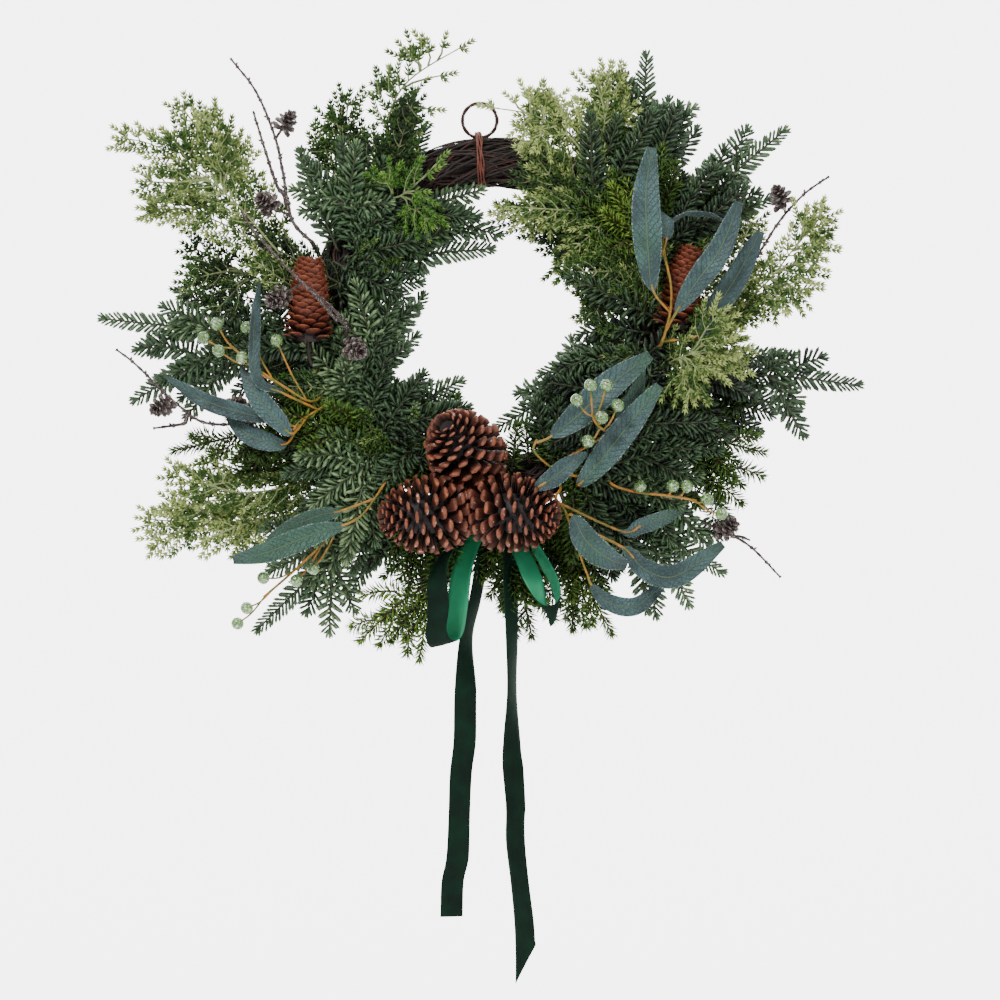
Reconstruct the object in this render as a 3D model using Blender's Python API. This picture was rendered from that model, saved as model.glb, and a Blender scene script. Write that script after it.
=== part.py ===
"""Fresh evergreen wreath: a vine ring dressed with fir, pine, cedar, eucalyptus, cones and a ribbon.

Units are metres and +Z is up. The wreath hangs in the XZ plane and faces -Y. Its origin is the
inner top of the hanging loop, where a nail or hook carries it. Routes are given as seen from the
front, in millimetres from the ring's centre: (right, up, out), with out towards the viewer.
Stems are laid first, and the script stops if one touches another. Then every needle is drawn out
of its stem's side faces, shorter or not at all where it would cross a neighbour.
"""

import math
import random

import bmesh
import bpy
from mathutils import Matrix, Vector
from mathutils.bvhtree import BVHTree

MM = 0.001
MERGE = 0.000003
HAIR = Vector((0.000011, -0.000017, 0.000013))

# The vine ring and its hanger
RING_RADIUS = 0.134
BUNDLE_RADIUS = 0.0205
BUNDLE_LOBES = 3
BUNDLE_TURNS = 5
LOBE_DEPTH = 0.03
LOOP_RADIUS = 0.0145
LOOP_WIRE = 0.0017
LOOP_RIGHT = -0.0105
TIE_WIDTH = 0.005
TIE_THICK = 0.0012

# Cloth, leaves and the clearances
RIBBON_WIDTH = 0.019
RIBBON_THICK = 0.0008
LEAF_THICK = 0.0008
LEAF_STEP = 0.0290
LEAF_SPACE = 0.002
LEAF_STEM_RADIUS = 0.0012
LEAF_STEM_STEP = 0.014
BERRY_RADIUS = 0.0054
SEAT_GAP = 0.00035
STUB_RADIUS = 0.0018
BAND_GAP = 0.0013
TIE_GAP = 0.0009
STEM_CLEARANCE = 0.0007
NEEDLE_CLEARANCE = 0.0006
WALL_OUT = -0.0185

# How a stem leaves the ring, and how a side stem leaves its parent
SQUARE_RUN = 0.006
CHECK_STEP = 0.003
BRANCH_RUN = 0.010
BRANCH_LEAN = 0.4
BRANCH_FREE = 0.009
RAY_START = 0.06
SEAT_STEP = 0.00005

# What each kind of foliage grows on its stems: the pitch and length of its needles, the stem's
# radius, the needles' lean from the stem at its root and at its tip, and the stem's twist
FOLIAGE = {
    "fir": {"pitch": 0.0091, "length": 0.0138, "core": 0.0014, "lean": (58, 38), "twist": 0},
    "pine": {"pitch": 0.0093, "length": 0.0110, "core": 0.0014, "lean": (52, 34), "twist": 47},
    "cedar": {"pitch": 0.0119, "length": 0.0110, "core": 0.0011, "lean": (42, 28), "twist": 60},
}
COLOURS = {
    "vine": (0.036, 0.022, 0.016),
    "wire": (0.060, 0.028, 0.020),
    "tie": (0.160, 0.050, 0.035),
    "velvet": (0.008, 0.085, 0.045),
    "pine_cone": (0.260, 0.080, 0.042),
    "spruce_cone": (0.400, 0.120, 0.042),
    "larch": (0.105, 0.078, 0.070),
    "eucalyptus": (0.120, 0.240, 0.220),
    "berry": (0.300, 0.450, 0.180),
    "fir": (0.050, 0.115, 0.075),
    "pine": (0.070, 0.150, 0.022),
    "cedar": (0.260, 0.340, 0.120),
    "juniper": (0.110, 0.270, 0.050),
}

random.seed(25)


# ---------------------------------------------------------------- routes and shapes


def at(right, up, out):
    """A point in millimetres, seen from the front, as a vector in metres."""
    return Vector((right, -out, up)) * MM


def smooth_route(points, step):
    """Evenly spaced points along a smooth curve through the given ones."""
    ends = [2 * points[0] - points[1]] + points + [2 * points[-1] - points[-2]]
    fine = [points[0]]
    for a, b, c, d in zip(ends, ends[1:], ends[2:], ends[3:]):
        for i in range(1, 17):
            t = i / 16
            line = (c - a) * t
            square = (2 * a - 5 * b + 4 * c - d) * t**2
            cube = (3 * b - a - 3 * c + d) * t**3
            fine.append((2 * b + line + square + cube) / 2)
    reach = [0.0]
    for p, q in zip(fine, fine[1:]):
        reach.append(reach[-1] + (q - p).length)
    count = max(2, round(reach[-1] / step))
    walk = []
    k = 0
    for i in range(count):
        wanted = reach[-1] * i / count
        while reach[k + 1] < wanted:
            k += 1
        walk.append(fine[k].lerp(fine[k + 1], (wanted - reach[k]) / (reach[k + 1] - reach[k])))
    return walk + [fine[-1]]


def stem_walk(route, step):
    """A stem's points: straight to its second point, so that it leaves its root squarely."""
    return route[:1] + smooth_route(route[1:], step)


def frames(walk):
    """(along, side, front) at each point, carried down from the tip so that they never spin."""
    along = []
    for before, after in zip([walk[0]] + walk[:-1], walk[1:] + [walk[-1]]):
        along.append((after - before).normalized())
    front = Vector((0, -1, 0))
    if abs(along[-1].y) > 0.9:
        front = Vector((0, 0, 1))
    made = []
    for tangent in reversed(along):
        front = (front - tangent * front.dot(tangent)).normalized()
        made.append((tangent, front.cross(tangent), front))
    return made[::-1]


def tube(walk, radii, sides=3, twist=0.0):
    """Corners and faces of a tube that ends in a point. Face i * sides + j is side j of length i."""
    corners = []
    phase = math.pi / 2 - math.pi / sides
    for i, (point, (_, side, front)) in enumerate(zip(walk[:-1], frames(walk))):
        for j in range(sides):
            angle = phase + 2 * math.pi * j / sides + math.radians(twist) * i
            corners.append(point + (side * math.cos(angle) + front * math.sin(angle)) * radii[i])
    faces = []
    rows = len(walk) - 1
    for i in range(rows - 1):
        for j in range(sides):
            a, b = i * sides + j, i * sides + (j + 1) % sides
            faces.append((a, b, b + sides, a + sides))
    last = (rows - 1) * sides
    corners.append(walk[-1])
    for j in range(sides):
        faces.append((last + j, last + (j + 1) % sides, len(corners) - 1))
    faces.append(tuple(reversed(range(sides))))
    return corners, faces


def halves(quad):
    """A side of a twisted tube as two triangles, split the way that keeps the tube full."""
    a, b, above_b, above_a = quad
    return [(a, b, above_a), (b, above_b, above_a)]


def joined(shapes):
    """Several shapes' corners and faces in one pair of lists."""
    corners, faces = [], []
    for more_corners, more_faces in shapes:
        start = len(corners)
        corners += more_corners
        faces += [tuple(i + start for i in face) for face in more_faces]
    return corners, faces


def tree_of(shapes):
    return BVHTree.FromPolygons(*joined(shapes))


# ---------------------------------------------------------------- objects

for old in list(bpy.data.objects):
    bpy.data.objects.remove(old)

wreath = bpy.data.objects.new("wreath", None)
bpy.context.collection.objects.link(wreath)


def material(name):
    """The finish of one kind of piece, made once."""
    found = bpy.data.materials.get(name)
    if found is None:
        found = bpy.data.materials.new(name)
        found.use_nodes = True
        shader = found.node_tree.nodes["Principled BSDF"]
        shader.inputs["Base Color"].default_value = (*COLOURS[name], 1)
        shader.inputs["Roughness"].default_value = 0.25 if name == "berry" else 0.75
        shader.inputs["Metallic"].default_value = 0.0
    return found


def mesh_of(name, corners, faces):
    mesh = bpy.data.meshes.new(name)
    mesh.from_pydata(corners, [], faces)
    return mesh


def outward(mesh):
    """Turns every face of a closed mesh outwards."""
    made = bmesh.new()
    made.from_mesh(mesh)
    bmesh.ops.recalc_face_normals(made, faces=made.faces)
    made.to_mesh(mesh)
    made.free()
    return mesh


def add(name, finish, mesh):
    mesh.materials.clear()
    mesh.materials.append(material(finish))
    node = bpy.data.objects.new(name, mesh)
    bpy.context.collection.objects.link(node)
    node.parent = wreath
    return node


def whole(mesh):
    """The mesh without the scraps and sealed hollows that crossing needles leave, or None.

    None stands for a mesh that touches itself along an edge.
    """
    made = bmesh.new()
    made.from_mesh(mesh)
    bmesh.ops.remove_doubles(made, verts=made.verts, dist=MERGE)
    left = set(made.faces)
    bodies = []
    while left:
        body = {left.pop()}
        rim = list(body)
        while rim:
            near = set()
            for face in rim:
                for edge in face.edges:
                    if len(edge.link_faces) == 2:
                        near.update(edge.link_faces)
            rim = list(near - body)
            body |= near
        left -= body
        bodies.append(body)
    biggest = max(bodies, key=len)
    scraps = [face for face in made.faces if face not in biggest]
    bmesh.ops.delete(made, geom=scraps, context="FACES")
    is_closed = all(len(edge.link_faces) == 2 for edge in made.edges)
    made.to_mesh(mesh)
    made.free()
    return mesh if is_closed else None


def union_of(name, shapes):
    """The Boolean union of closed shapes as one mesh."""
    body = bpy.data.objects.new(name, mesh_of(name, *shapes[0]))
    others = bpy.data.collections.new(name)
    bpy.context.scene.collection.children.link(others)
    bpy.context.collection.objects.link(body)
    for shape in shapes[1:]:
        others.objects.link(bpy.data.objects.new(name, mesh_of(name, *shape)))
    union = body.modifiers.new("union", "BOOLEAN")
    union.operation = "UNION"
    union.operand_type = "COLLECTION"
    union.collection = others
    union.solver = "MANIFOLD"
    graph = bpy.context.evaluated_depsgraph_get()
    mesh = bpy.data.meshes.new_from_object(body.evaluated_get(graph))
    for part in [body] + list(others.objects):
        bpy.data.objects.remove(part)
    bpy.data.collections.remove(others)
    return mesh


def fused(name, shapes):
    """One closed mesh from shapes that run into each other.

    Where edges happen to coincide, the shapes are moved against each other by a hair.
    """
    if len(shapes) == 1:
        return mesh_of(name, *shapes[0])
    for attempt in range(12):
        moved = []
        for i, (corners, faces) in enumerate(shapes):
            shift = HAIR * (attempt * i)
            moved.append(([corner + shift for corner in corners], faces))
        mesh = whole(union_of(name, moved))
        if mesh:
            return mesh
    raise ValueError(f"{name} touches itself")


def shape_of(mesh):
    """A mesh's corners and faces, for the clearance tests."""
    return [v.co.copy() for v in mesh.vertices], [tuple(p.vertices) for p in mesh.polygons]


# What is placed so far, by name: every later stem, leaf and needle keeps clear of it
placed = {}


def placed_tree(without=()):
    return tree_of(shape for name, shape in placed.items() if name not in without)


# ---------------------------------------------------------------- vine ring, hanging loop and tie


def ring_frame(clock):
    """The bundle's centre at an angle from the right-hand side, and its outward direction."""
    angle = math.radians(clock)
    outwards = Vector((math.cos(angle), 0, math.sin(angle)))
    return outwards * RING_RADIUS, outwards


def ring_direction(clock, around):
    """Out of the bundle: around 0 is away from the wreath's centre, 90 is towards the viewer."""
    outwards = ring_frame(clock)[1]
    turn = math.radians(around)
    return outwards * math.cos(turn) + Vector((0, -1, 0)) * math.sin(turn)


def closed_band(rings):
    """A closed ring of sections, each a closed loop of the same number of corners."""
    count, sides = len(rings), len(rings[0])
    corners = [corner for ring in rings for corner in ring]
    faces = []
    for i in range(count):
        for j in range(sides):
            a, b = i * sides + j, i * sides + (j + 1) % sides
            c, d = (i + 1) % count * sides + (j + 1) % sides, (i + 1) % count * sides + j
            faces += [(a, b, c), (a, c, d)]
    return corners, faces


def vine_ring():
    """A bundle of vines twisted together, which shows as three shallow lobes winding round."""
    rings = []
    segments, sides = 32, 9
    for i in range(segments):
        clock = 360 * i / segments
        centre = ring_frame(clock)[0]
        section = []
        for j in range(sides):
            around = 360 * j / sides
            wave = math.cos(math.radians(BUNDLE_LOBES * around + BUNDLE_TURNS * clock))
            radius = BUNDLE_RADIUS * (1 - LOBE_DEPTH + LOBE_DEPTH * wave)
            section.append(centre + ring_direction(clock, around) * radius)
        rings.append(section)
    return outward(mesh_of("vine_ring", *closed_band(rings)))


ring_mesh = vine_ring()
add("vine_ring", "vine", ring_mesh)
placed["vine_ring"] = shape_of(ring_mesh)
ring_tree = tree_of([placed["vine_ring"]])

# The loop stands on the ring's crest, in the wreath's plane
crest = ring_tree.ray_cast(Vector((LOOP_RIGHT, 0, 0.2)), Vector((0, 0, -1)))[0].z
loop_centre = Vector((LOOP_RIGHT, 0, crest + SEAT_GAP + LOOP_WIRE + LOOP_RADIUS))


def hanging_loop():
    rings = []
    segments, sides = 18, 5
    for i in range(segments):
        turn = math.pi / 2 + 2 * math.pi * i / segments
        outwards = Vector((math.cos(turn), 0, math.sin(turn)))
        section = []
        for j in range(sides):
            angle = 2 * math.pi * j / sides
            offset = outwards * math.cos(angle) + Vector((0, 1, 0)) * math.sin(angle)
            section.append(loop_centre + outwards * LOOP_RADIUS + offset * LOOP_WIRE)
        rings.append(section)
    return outward(mesh_of("hanging_loop", *closed_band(rings)))


def band_round_ring(clock, width, thick, gap, bump, name):
    """A band laid round the bundle, which rises by bump where it passes over something outside."""
    centre, outwards = ring_frame(clock)
    across = Vector((0, 1, 0)).cross(outwards)
    rings = []
    segments = 16
    for i in range(segments):
        around = 360 * i / segments
        away = ring_direction(clock, around)
        rise = bump * max(0.0, math.cos(math.radians(around))) ** 6
        inner = BUNDLE_RADIUS + gap + rise
        section = []
        for sideways, radius in ((-1, inner), (1, inner), (1, inner + thick), (-1, inner + thick)):
            section.append(centre + away * radius + across * (sideways * width / 2))
        rings.append(section)
    return outward(mesh_of(name, *closed_band(rings)))


loop_mesh = hanging_loop()
add("hanging_loop", "wire", loop_mesh)
placed["hanging_loop"] = shape_of(loop_mesh)
tie_clock = math.degrees(math.acos(LOOP_RIGHT / RING_RADIUS))
tie_bump = 2 * LOOP_WIRE + 0.0010
tie_mesh = band_round_ring(tie_clock, TIE_WIDTH, TIE_THICK, TIE_GAP, tie_bump, "loop_tie")
add("loop_tie", "tie", tie_mesh)
placed["loop_tie"] = shape_of(tie_mesh)

# The origin is the top of the hole in the loop
wreath.location = -(loop_centre + Vector((0, 0, LOOP_RADIUS - LOOP_WIRE)))


# ---------------------------------------------------------------- ribbon

# Each strip follows one of its edges: (right, up, out), then the way across to its other edge
LEFT_LOOP = (
    ((-2, -160, 18), (-0.5, 0.2, -0.8)),
    ((-16, -176, 36), (-0.4, 0.1, -0.9)),
    ((-33, -192, 49), (-0.5, -0.1, -0.85)),
    ((-38, -211, 54), (-0.8, -0.1, -0.6)),
    ((-36, -236, 55), (-0.95, -0.15, -0.3)),
    ((-38, -256, 52), (-0.95, -0.3, -0.2)),
    ((-33, -266, 44), (-0.95, -0.3, -0.2)),
    ((-25, -261, 35), (-0.95, -0.1, -0.3)),
    ((-21, -240, 31), (-0.93, 0.0, -0.35)),
    ((-17, -206, 30), (-0.85, 0.0, -0.5)),
    ((-7, -178, 25), (-0.7, 0.2, -0.7)),
    ((2, -159, 15), (-0.6, 0.3, -0.7)),
)
RIGHT_LOOP = (
    ((2, -161, 17), (0.6, 0.2, -0.7)),
    ((8, -176, 20), (0.6, 0.1, -0.8)),
    ((18, -198, 36), (0.85, 0.0, -0.5)),
    ((25, -215, 49), (0.85, -0.1, -0.5)),
    ((36, -232, 50), (0.5, -0.7, -0.5)),
    ((46, -237, 48), (0.1, -0.95, -0.3)),
    ((55, -231, 46), (-0.15, -0.8, -0.6)),
    ((55, -218, 44), (-0.4, -0.2, -0.9)),
    ((48, -202, 41), (-0.5, 0.0, -0.85)),
    ((30, -176, 32), (-0.4, 0.1, -0.9)),
    ((3, -158, 17), (-0.4, 0.3, -0.8)),
)
LEFT_TAIL = (
    ((-3, -161, 14), (0.5, 0.0, -0.8)),
    ((-12, -190, 17), (0.55, 0.0, -0.8)),
    ((-20, -234, 17), (0.5, 0.0, -0.85)),
    ((-28, -267, 17), (0.55, 0.0, -0.8)),
    ((-32, -309, 14), (0.95, 0.0, -0.3)),
    ((-33, -350, 13), (0.98, 0.0, -0.1)),
    ((-36, -379, 15), (0.95, 0.1, 0.2)),
    ((-37, -412, 17), (0.9, 0.1, 0.3)),
    ((-39, -448, 16), (0.95, -0.1, -0.1)),
    ((-43, -469, 14), (0.95, 0.0, -0.2)),
    ((-44, -498, 13), (0.95, 0.0, -0.2)),
)
RIGHT_TAIL = (
    ((1, -162, 15), (0.6, 0.0, -0.7)),
    ((8, -188, 21), (0.8, 0.0, -0.6)),
    ((9, -220, 21), (0.65, 0.0, -0.75)),
    ((11, -267, 20), (0.5, 0.0, -0.85)),
    ((12, -309, 18), (0.4, 0.0, -0.9)),
    ((9, -347, 15), (0.7, 0.0, -0.7)),
    ((8, -372, 13), (0.9, 0.0, -0.4)),
    ((11, -407, 13), (0.8, 0.0, 0.5)),
    ((11, -435, 15), (0.8, 0.1, 0.55)),
    ((15, -469, 17), (0.75, 0.1, 0.6)),
    ((18, -502, 17), (0.8, 0.0, 0.5)),
    ((19, -530, 14), (0.7, 0.0, 0.4)),
    ((19, -554, 12), (0.7, 0.0, 0.4)),
)
LOOP_STEP = 0.0190
TAIL_STEP = 0.0280
TAIL_CUT = 0.036
KNOT = (0, -160, 13)
KNOT_SIZE = Vector((0.011, 0.010, 0.009))
PINCH = 0.35


def strip(route, step, is_loop, cut=0.0):
    """A thin closed strip, pinched at the knot. Its last corner across is pulled back by cut."""
    edge = [at(*point) for point, _ in route]
    ways = [at(*way).normalized() * RIBBON_WIDTH for _, way in route]
    ways[0] *= PINCH
    if is_loop:
        ways[-1] *= PINCH
    walk = smooth_route(edge, step)
    across = smooth_route([p + w for p, w in zip(edge, ways)], step)
    far = []
    for i in range(len(walk)):
        place = i / (len(walk) - 1) * (len(across) - 1)
        k = min(int(place), len(across) - 2)
        far.append(across[k].lerp(across[k + 1], place - k))
    back = (far[-2] - far[-1]).normalized()
    far[-1] = far[-1] + back * cut
    corners = []
    for i, (near, other) in enumerate(zip(walk, far)):
        along = walk[min(i + 1, len(walk) - 1)] - walk[max(i - 1, 0)]
        way = (other - near).normalized()
        half = along.cross(way).normalized() * (RIBBON_THICK / 2)
        other = near + way * min(RIBBON_WIDTH, (other - near).length)
        corners += [near - half, other - half, other + half, near + half]
    faces = [(0, 1, 2), (0, 2, 3)]
    for i in range(0, len(corners) - 4, 4):
        for a, b in ((0, 1), (1, 2)):
            faces.append((i + a, i + a + 4, i + b + 4))
            faces.append((i + a, i + b + 4, i + b))
        # the back face and the closing edge are split the same way as the ones they lie behind
        faces.append((i + 3, i + 2, i + 6))
        faces.append((i + 3, i + 6, i + 7))
        faces.append((i + 3, i + 7, i + 4))
        faces.append((i + 3, i + 4, i))
    end = len(corners) - 4
    faces += [(end, end + 2, end + 1), (end, end + 3, end + 2)]
    return corners, faces


def bead(centre, radii, sides=6, rows=3):
    """A closed faceted ball, or a flattened one."""
    corners = [centre + Vector((0, 0, radii.z))]
    for i in range(1, rows + 1):
        turn = math.pi * i / (rows + 1)
        for j in range(sides):
            angle = 2 * math.pi * (j + i / 2) / sides
            level = Vector((math.cos(angle) * radii.x, math.sin(angle) * radii.y, 0))
            corners.append(centre + level * math.sin(turn) + Vector((0, 0, radii.z * math.cos(turn))))
    corners.append(centre - Vector((0, 0, radii.z)))
    faces = []
    for j in range(sides):
        k = (j + 1) % sides
        faces.append((0, 1 + j, 1 + k))
        for i in range(rows - 1):
            a, b = 1 + i * sides, 1 + (i + 1) * sides
            faces.append((a + j, b + j, a + k))
            faces.append((a + k, b + j, b + k))
        a = 1 + (rows - 1) * sides
        faces.append((a + k, a + j, len(corners) - 1))
    return corners, faces


def ribbon():
    """Two loops and two tails out of a knot, on a band of the same ribbon round the ring."""
    band = band_round_ring(270, RIBBON_WIDTH, RIBBON_THICK, BAND_GAP, 0, "band")
    shapes = [shape_of(band), bead(at(*KNOT), KNOT_SIZE)]
    shapes += [strip(LEFT_LOOP, LOOP_STEP, True), strip(RIGHT_LOOP, LOOP_STEP, True)]
    shapes += [strip(LEFT_TAIL, TAIL_STEP, False), strip(RIGHT_TAIL, TAIL_STEP, False, TAIL_CUT)]
    for i, shape in enumerate(shapes):
        shapes[i] = shape_of(outward(mesh_of("strip", *shape)))
    return fused("ribbon", shapes)


ribbon_mesh = ribbon()
add("ribbon", "velvet", ribbon_mesh)
placed["ribbon"] = shape_of(ribbon_mesh)


# ---------------------------------------------------------------- stems that start on the ring


def cap_gap(centre, normal, radius):
    """The least gap between the ring and a stem's flat end, below zero where it would sink in."""
    across = normal.orthogonal().normalized()
    gaps = []
    for j in range(8):
        angle = 2 * math.pi * j / 8
        point = centre + Matrix.Rotation(angle, 3, normal) @ across * radius
        near, facing, _, distance = ring_tree.find_nearest(point)
        gaps.append(math.copysign(distance, (point - near).dot(facing)))
    return min(gaps)


def ring_root(clock, around, radius):
    """Where a stem starts: a point just off the ring, and the way straight out from there."""
    way = ring_direction(clock, around)
    centre = ring_frame(clock)[0]
    root, normal = ring_tree.ray_cast(centre + way * RAY_START, -way)[:2]
    while cap_gap(root, normal, radius) < SEAT_GAP:
        root = root + normal * SEAT_STEP
    return root, normal


def touches(shape, tree):
    return bool(tree_of([shape]).overlap(tree))


def is_clear(walk, radius, free, tree, home_tree):
    """Whether a stem along the walk clears everything, and its home beyond its first stretch."""
    fat = radius + STEM_CLEARANCE
    if touches(tube(walk, [fat] * len(walk)), tree):
        return False
    away = [p for p in walk if (p - walk[0]).length > free]
    if len(away) > 2 and touches(tube(away, [fat] * len(away)), home_tree):
        return False
    return all(-p.y > WALL_OUT + radius for p in walk)


# A side stem starts just in front of its parent's middle, so that their edges don't coincide
BRANCH_OFFSET = Vector((0.0001, -0.00035, 0.0001))


def ring_route(clock, around, points, radius):
    """A stem's route: square off the ring at first, then through the given points."""
    root, way = ring_root(clock, around, radius)
    route = [root, root + way * SQUARE_RUN] + [at(*point) for point in points]
    walk = stem_walk(route, CHECK_STEP)
    if not is_clear(walk, radius, CHECK_STEP, placed_tree(("vine_ring",)), ring_tree):
        raise ValueError(f"the stem to {points[-1]} touches another piece")
    return route


def branch_route(home, start, along, points, radius):
    """A side stem's route from a point on its parent through the given points."""
    start = start + BRANCH_OFFSET
    via = [at(*point) for point in points]
    reach = min(BRANCH_RUN, (via[0] - start).length / 2)
    way = ((via[0] - start).normalized() + along * BRANCH_LEAN).normalized()
    route = [start, start + way * reach] + via
    walk = stem_walk(route, CHECK_STEP)
    if not is_clear(walk, radius, BRANCH_FREE, placed_tree((home,)), tree_of([placed[home]])):
        raise ValueError(f"the side stem of {home} to {points[-1]} touches another piece")
    return route


def point_along(walk, share):
    """A point at a share of a walk, with the walk's direction there."""
    place = share * (len(walk) - 1)
    k = min(int(place), len(walk) - 2)
    return walk[k].lerp(walk[k + 1], place - k), (walk[k + 1] - walk[k]).normalized()


# ---------------------------------------------------------------- cones


def scaled_cone(length, outline, columns, rows, reach, lean, lips):
    """A cone along +Z on its base at 0: a lattice of diamonds, each drawn out into a scale.

    outline gives the body's radius for a share of the length. reach and lean give how far a
    scale stands out, and how much it turns towards the tip, for a share of the length.
    """
    corners = []
    for i in range(rows + 1):
        share = i / rows
        radius = outline(share)
        for j in range(columns):
            angle = 2 * math.pi * (j + (i % 2) / 2) / columns
            corners.append(Vector((math.cos(angle), math.sin(angle), 0)) * radius)
            corners[-1].z = share * length

    def corner(i, j):
        return i * columns + j % columns

    faces = [tuple(corner(0, j) for j in reversed(range(columns)))]
    faces.append(tuple(corner(rows, j) for j in range(columns)))
    for j in range(columns):
        faces.append((corner(0, j), corner(0, j + 1), corner(1, j)))
        odd = rows % 2
        faces.append((corner(rows, j + 1), corner(rows, j), corner(rows - 1, j + odd)))
    for i in range(rows - 1):
        for j in range(columns):
            odd = i % 2
            bottom, top = corner(i, j), corner(i + 2, j)
            left, right = corner(i + 1, j - 1 + odd), corner(i + 1, j + odd)
            share = (i + 1) / rows
            middle = (corners[left] + corners[right]) / 2
            outwards = Vector((middle.x, middle.y, 0)).normalized()
            turn = lean(share)
            way = outwards * math.cos(turn) + Vector((0, 0, 1)) * math.sin(turn)
            half = (corners[right] - corners[left]) / 2
            rim = []
            for k in range(lips):
                sideways = 0.0 if lips == 1 else 2 * k / (lips - 1) - 1
                bulge = 1 - 0.15 * sideways**2
                tip = middle + half * (sideways * 0.85) + way * (reach(share) * bulge)
                rim.append(len(corners))
                corners.append(tip)
            edge = [left] + rim + [right]
            for a, b in zip(edge, edge[1:]):
                faces.append((bottom, b, a))
                faces.append((top, a, b))
    mesh = outward(mesh_of("cone", corners, faces))
    return shape_of(mesh)


def pine_cone():
    """An open cone, as wide as it is long, whose scales stand out from a slim core."""
    return scaled_cone(
        length=0.056,
        outline=lambda s: 0.005 + 0.012 * math.sin(math.pi * min(1, 0.25 + 0.75 * s)) ** 0.8,
        columns=7,
        rows=7,
        reach=lambda s: 0.0185 - 0.009 * s**2,
        lean=lambda s: math.radians(-18 + 88 * s),
        lips=3,
    )


def spruce_cone():
    """A long closed cone, whose flat scales overlap towards its tip."""
    return scaled_cone(
        length=0.070,
        outline=lambda s: 0.0035 + 0.0125 * math.sin(math.pi * (0.18 + 0.74 * s)) ** 0.7,
        columns=6,
        rows=10,
        reach=lambda s: 0.0058,
        lean=lambda s: math.radians(38),
        lips=1,
    )


LARCH_LENGTH = 0.016


def larch_cone():
    """A small rosette of rounded scales."""
    return scaled_cone(
        length=LARCH_LENGTH,
        outline=lambda s: 0.0028 + 0.0045 * math.sin(math.pi * (0.2 + 0.6 * s)),
        columns=4,
        rows=4,
        reach=lambda s: 0.0056,
        lean=lambda s: math.radians(15 + 50 * s),
        lips=1,
    )


def stood(shape, base, way, roll=0.0):
    """A shape along +Z moved to its base and turned to point along way."""
    turn = way.to_track_quat("Z", "Y").to_matrix().to_4x4()
    place = Matrix.Translation(base) @ turn @ Matrix.Rotation(math.radians(roll), 4, "Z")
    return [place @ corner for corner in shape[0]], shape[1]


# A cone's stub leaves the ring squarely, comes up under the cone's base and ends inside it
STUB_RUN = 0.005
STUB_UNDER = 0.006
STUB_INSIDE = 0.010
STUB_STEP = 0.013


def hung_cone(name, finish, shape, base, way, roll, clock, around, via):
    """A cone on a short stub from the ring. The stub ends inside the cone."""
    base, way = at(*base), at(*way).normalized()
    body = stood(shape, base, way, roll)
    root, out = ring_root(clock, around, STUB_RADIUS)
    route = [root, root + out * STUB_RUN] + [at(*point) for point in via]
    route += [base - way * STUB_UNDER, base + way * STUB_INSIDE]
    walk = stem_walk(route, STUB_STEP)
    stub = tube(walk, [STUB_RADIUS] * len(walk), 4)
    mesh = fused(name, [body, stub])
    add(name, finish, mesh)
    placed[name] = shape_of(mesh)


PINE_CONE = pine_cone()
SPRUCE_CONE = spruce_cone()
LARCH_CONE = larch_cone()

hung_cone(
    "pine_cone_top", "pine_cone", PINE_CONE,
    (-16, -117, 27), (-0.30, 0.35, 0.85), 0, 262, 100, [],
)
hung_cone(
    "pine_cone_left", "pine_cone", PINE_CONE,
    (-35, -160, 54), (-0.88, -0.05, 0.28), 10, 253, 80, [(-29, -139, 32), (-24, -150, 44)],
)
hung_cone(
    "pine_cone_right", "pine_cone", PINE_CONE,
    (-3, -158, 56), (0.88, -0.08, 0.28), 30, 280, 85, [(14, -141, 31), (-4, -142, 36), (-14, -152, 46)],
)
hung_cone(
    "spruce_cone_left", "spruce_cone", SPRUCE_CONE,
    (-152, -19, 50), (0.02, 1, 0.06), 0, 196, 70, [(-139, -41, 36), (-149, -38, 46)],
)
hung_cone(
    "spruce_cone_right", "spruce_cone", SPRUCE_CONE,
    (152, -8, 38), (0.17, 1, 0.06), 20, 352, 45, [(148, -30, 27), (152, -26, 33)],
)


# ---------------------------------------------------------------- eucalyptus and berries


def leaf(points, width, roll, flat_from):
    """A thin leaf with a folded midrib, on a stalk that takes the first part of its route."""
    walk = smooth_route(points, LEAF_STEP)
    reach = len(walk) - 1
    corners = []
    for i, (point, (tangent, side, front)) in enumerate(zip(walk, frames(walk))):
        share = i / reach
        blade = max(0.0, (share - flat_from) / (1 - flat_from))
        half = width / 2 * math.sin(math.pi * min(1, blade) ** 0.8) ** 0.75 + 0.0009
        turn = Matrix.Rotation(math.radians(roll), 3, tangent)
        side, front = turn @ side, turn @ front
        thick = front * (LEAF_THICK / 2)
        fold = front * (half * 0.22)
        left, right = point - side * half + fold, point + side * half + fold
        corners += [left + thick, point + thick, right + thick]
        corners += [right - thick, point - thick, left - thick]
    faces = [(0, 1, 4), (0, 4, 5), (1, 2, 3), (1, 3, 4)]
    for i in range(0, len(corners) - 6, 6):
        # both faces are split alike, so that a curled blade keeps its thickness
        for a, b, c, d in ((0, 1, 5, 4), (1, 2, 4, 3)):
            faces += [(i + a, i + a + 6, i + b + 6), (i + a, i + b + 6, i + b)]
            faces += [(i + c, i + d + 6, i + c + 6), (i + c, i + d, i + d + 6)]
        for a, b in ((2, 3), (5, 0)):
            faces += [(i + a, i + a + 6, i + b + 6), (i + a, i + b + 6, i + b)]
    end = len(corners) - 6
    faces += [(end, end + 4, end + 1), (end, end + 5, end + 4)]
    faces += [(end + 1, end + 3, end + 2), (end + 1, end + 4, end + 3)]
    return shape_of(outward(mesh_of("leaf", corners, faces)))


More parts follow.
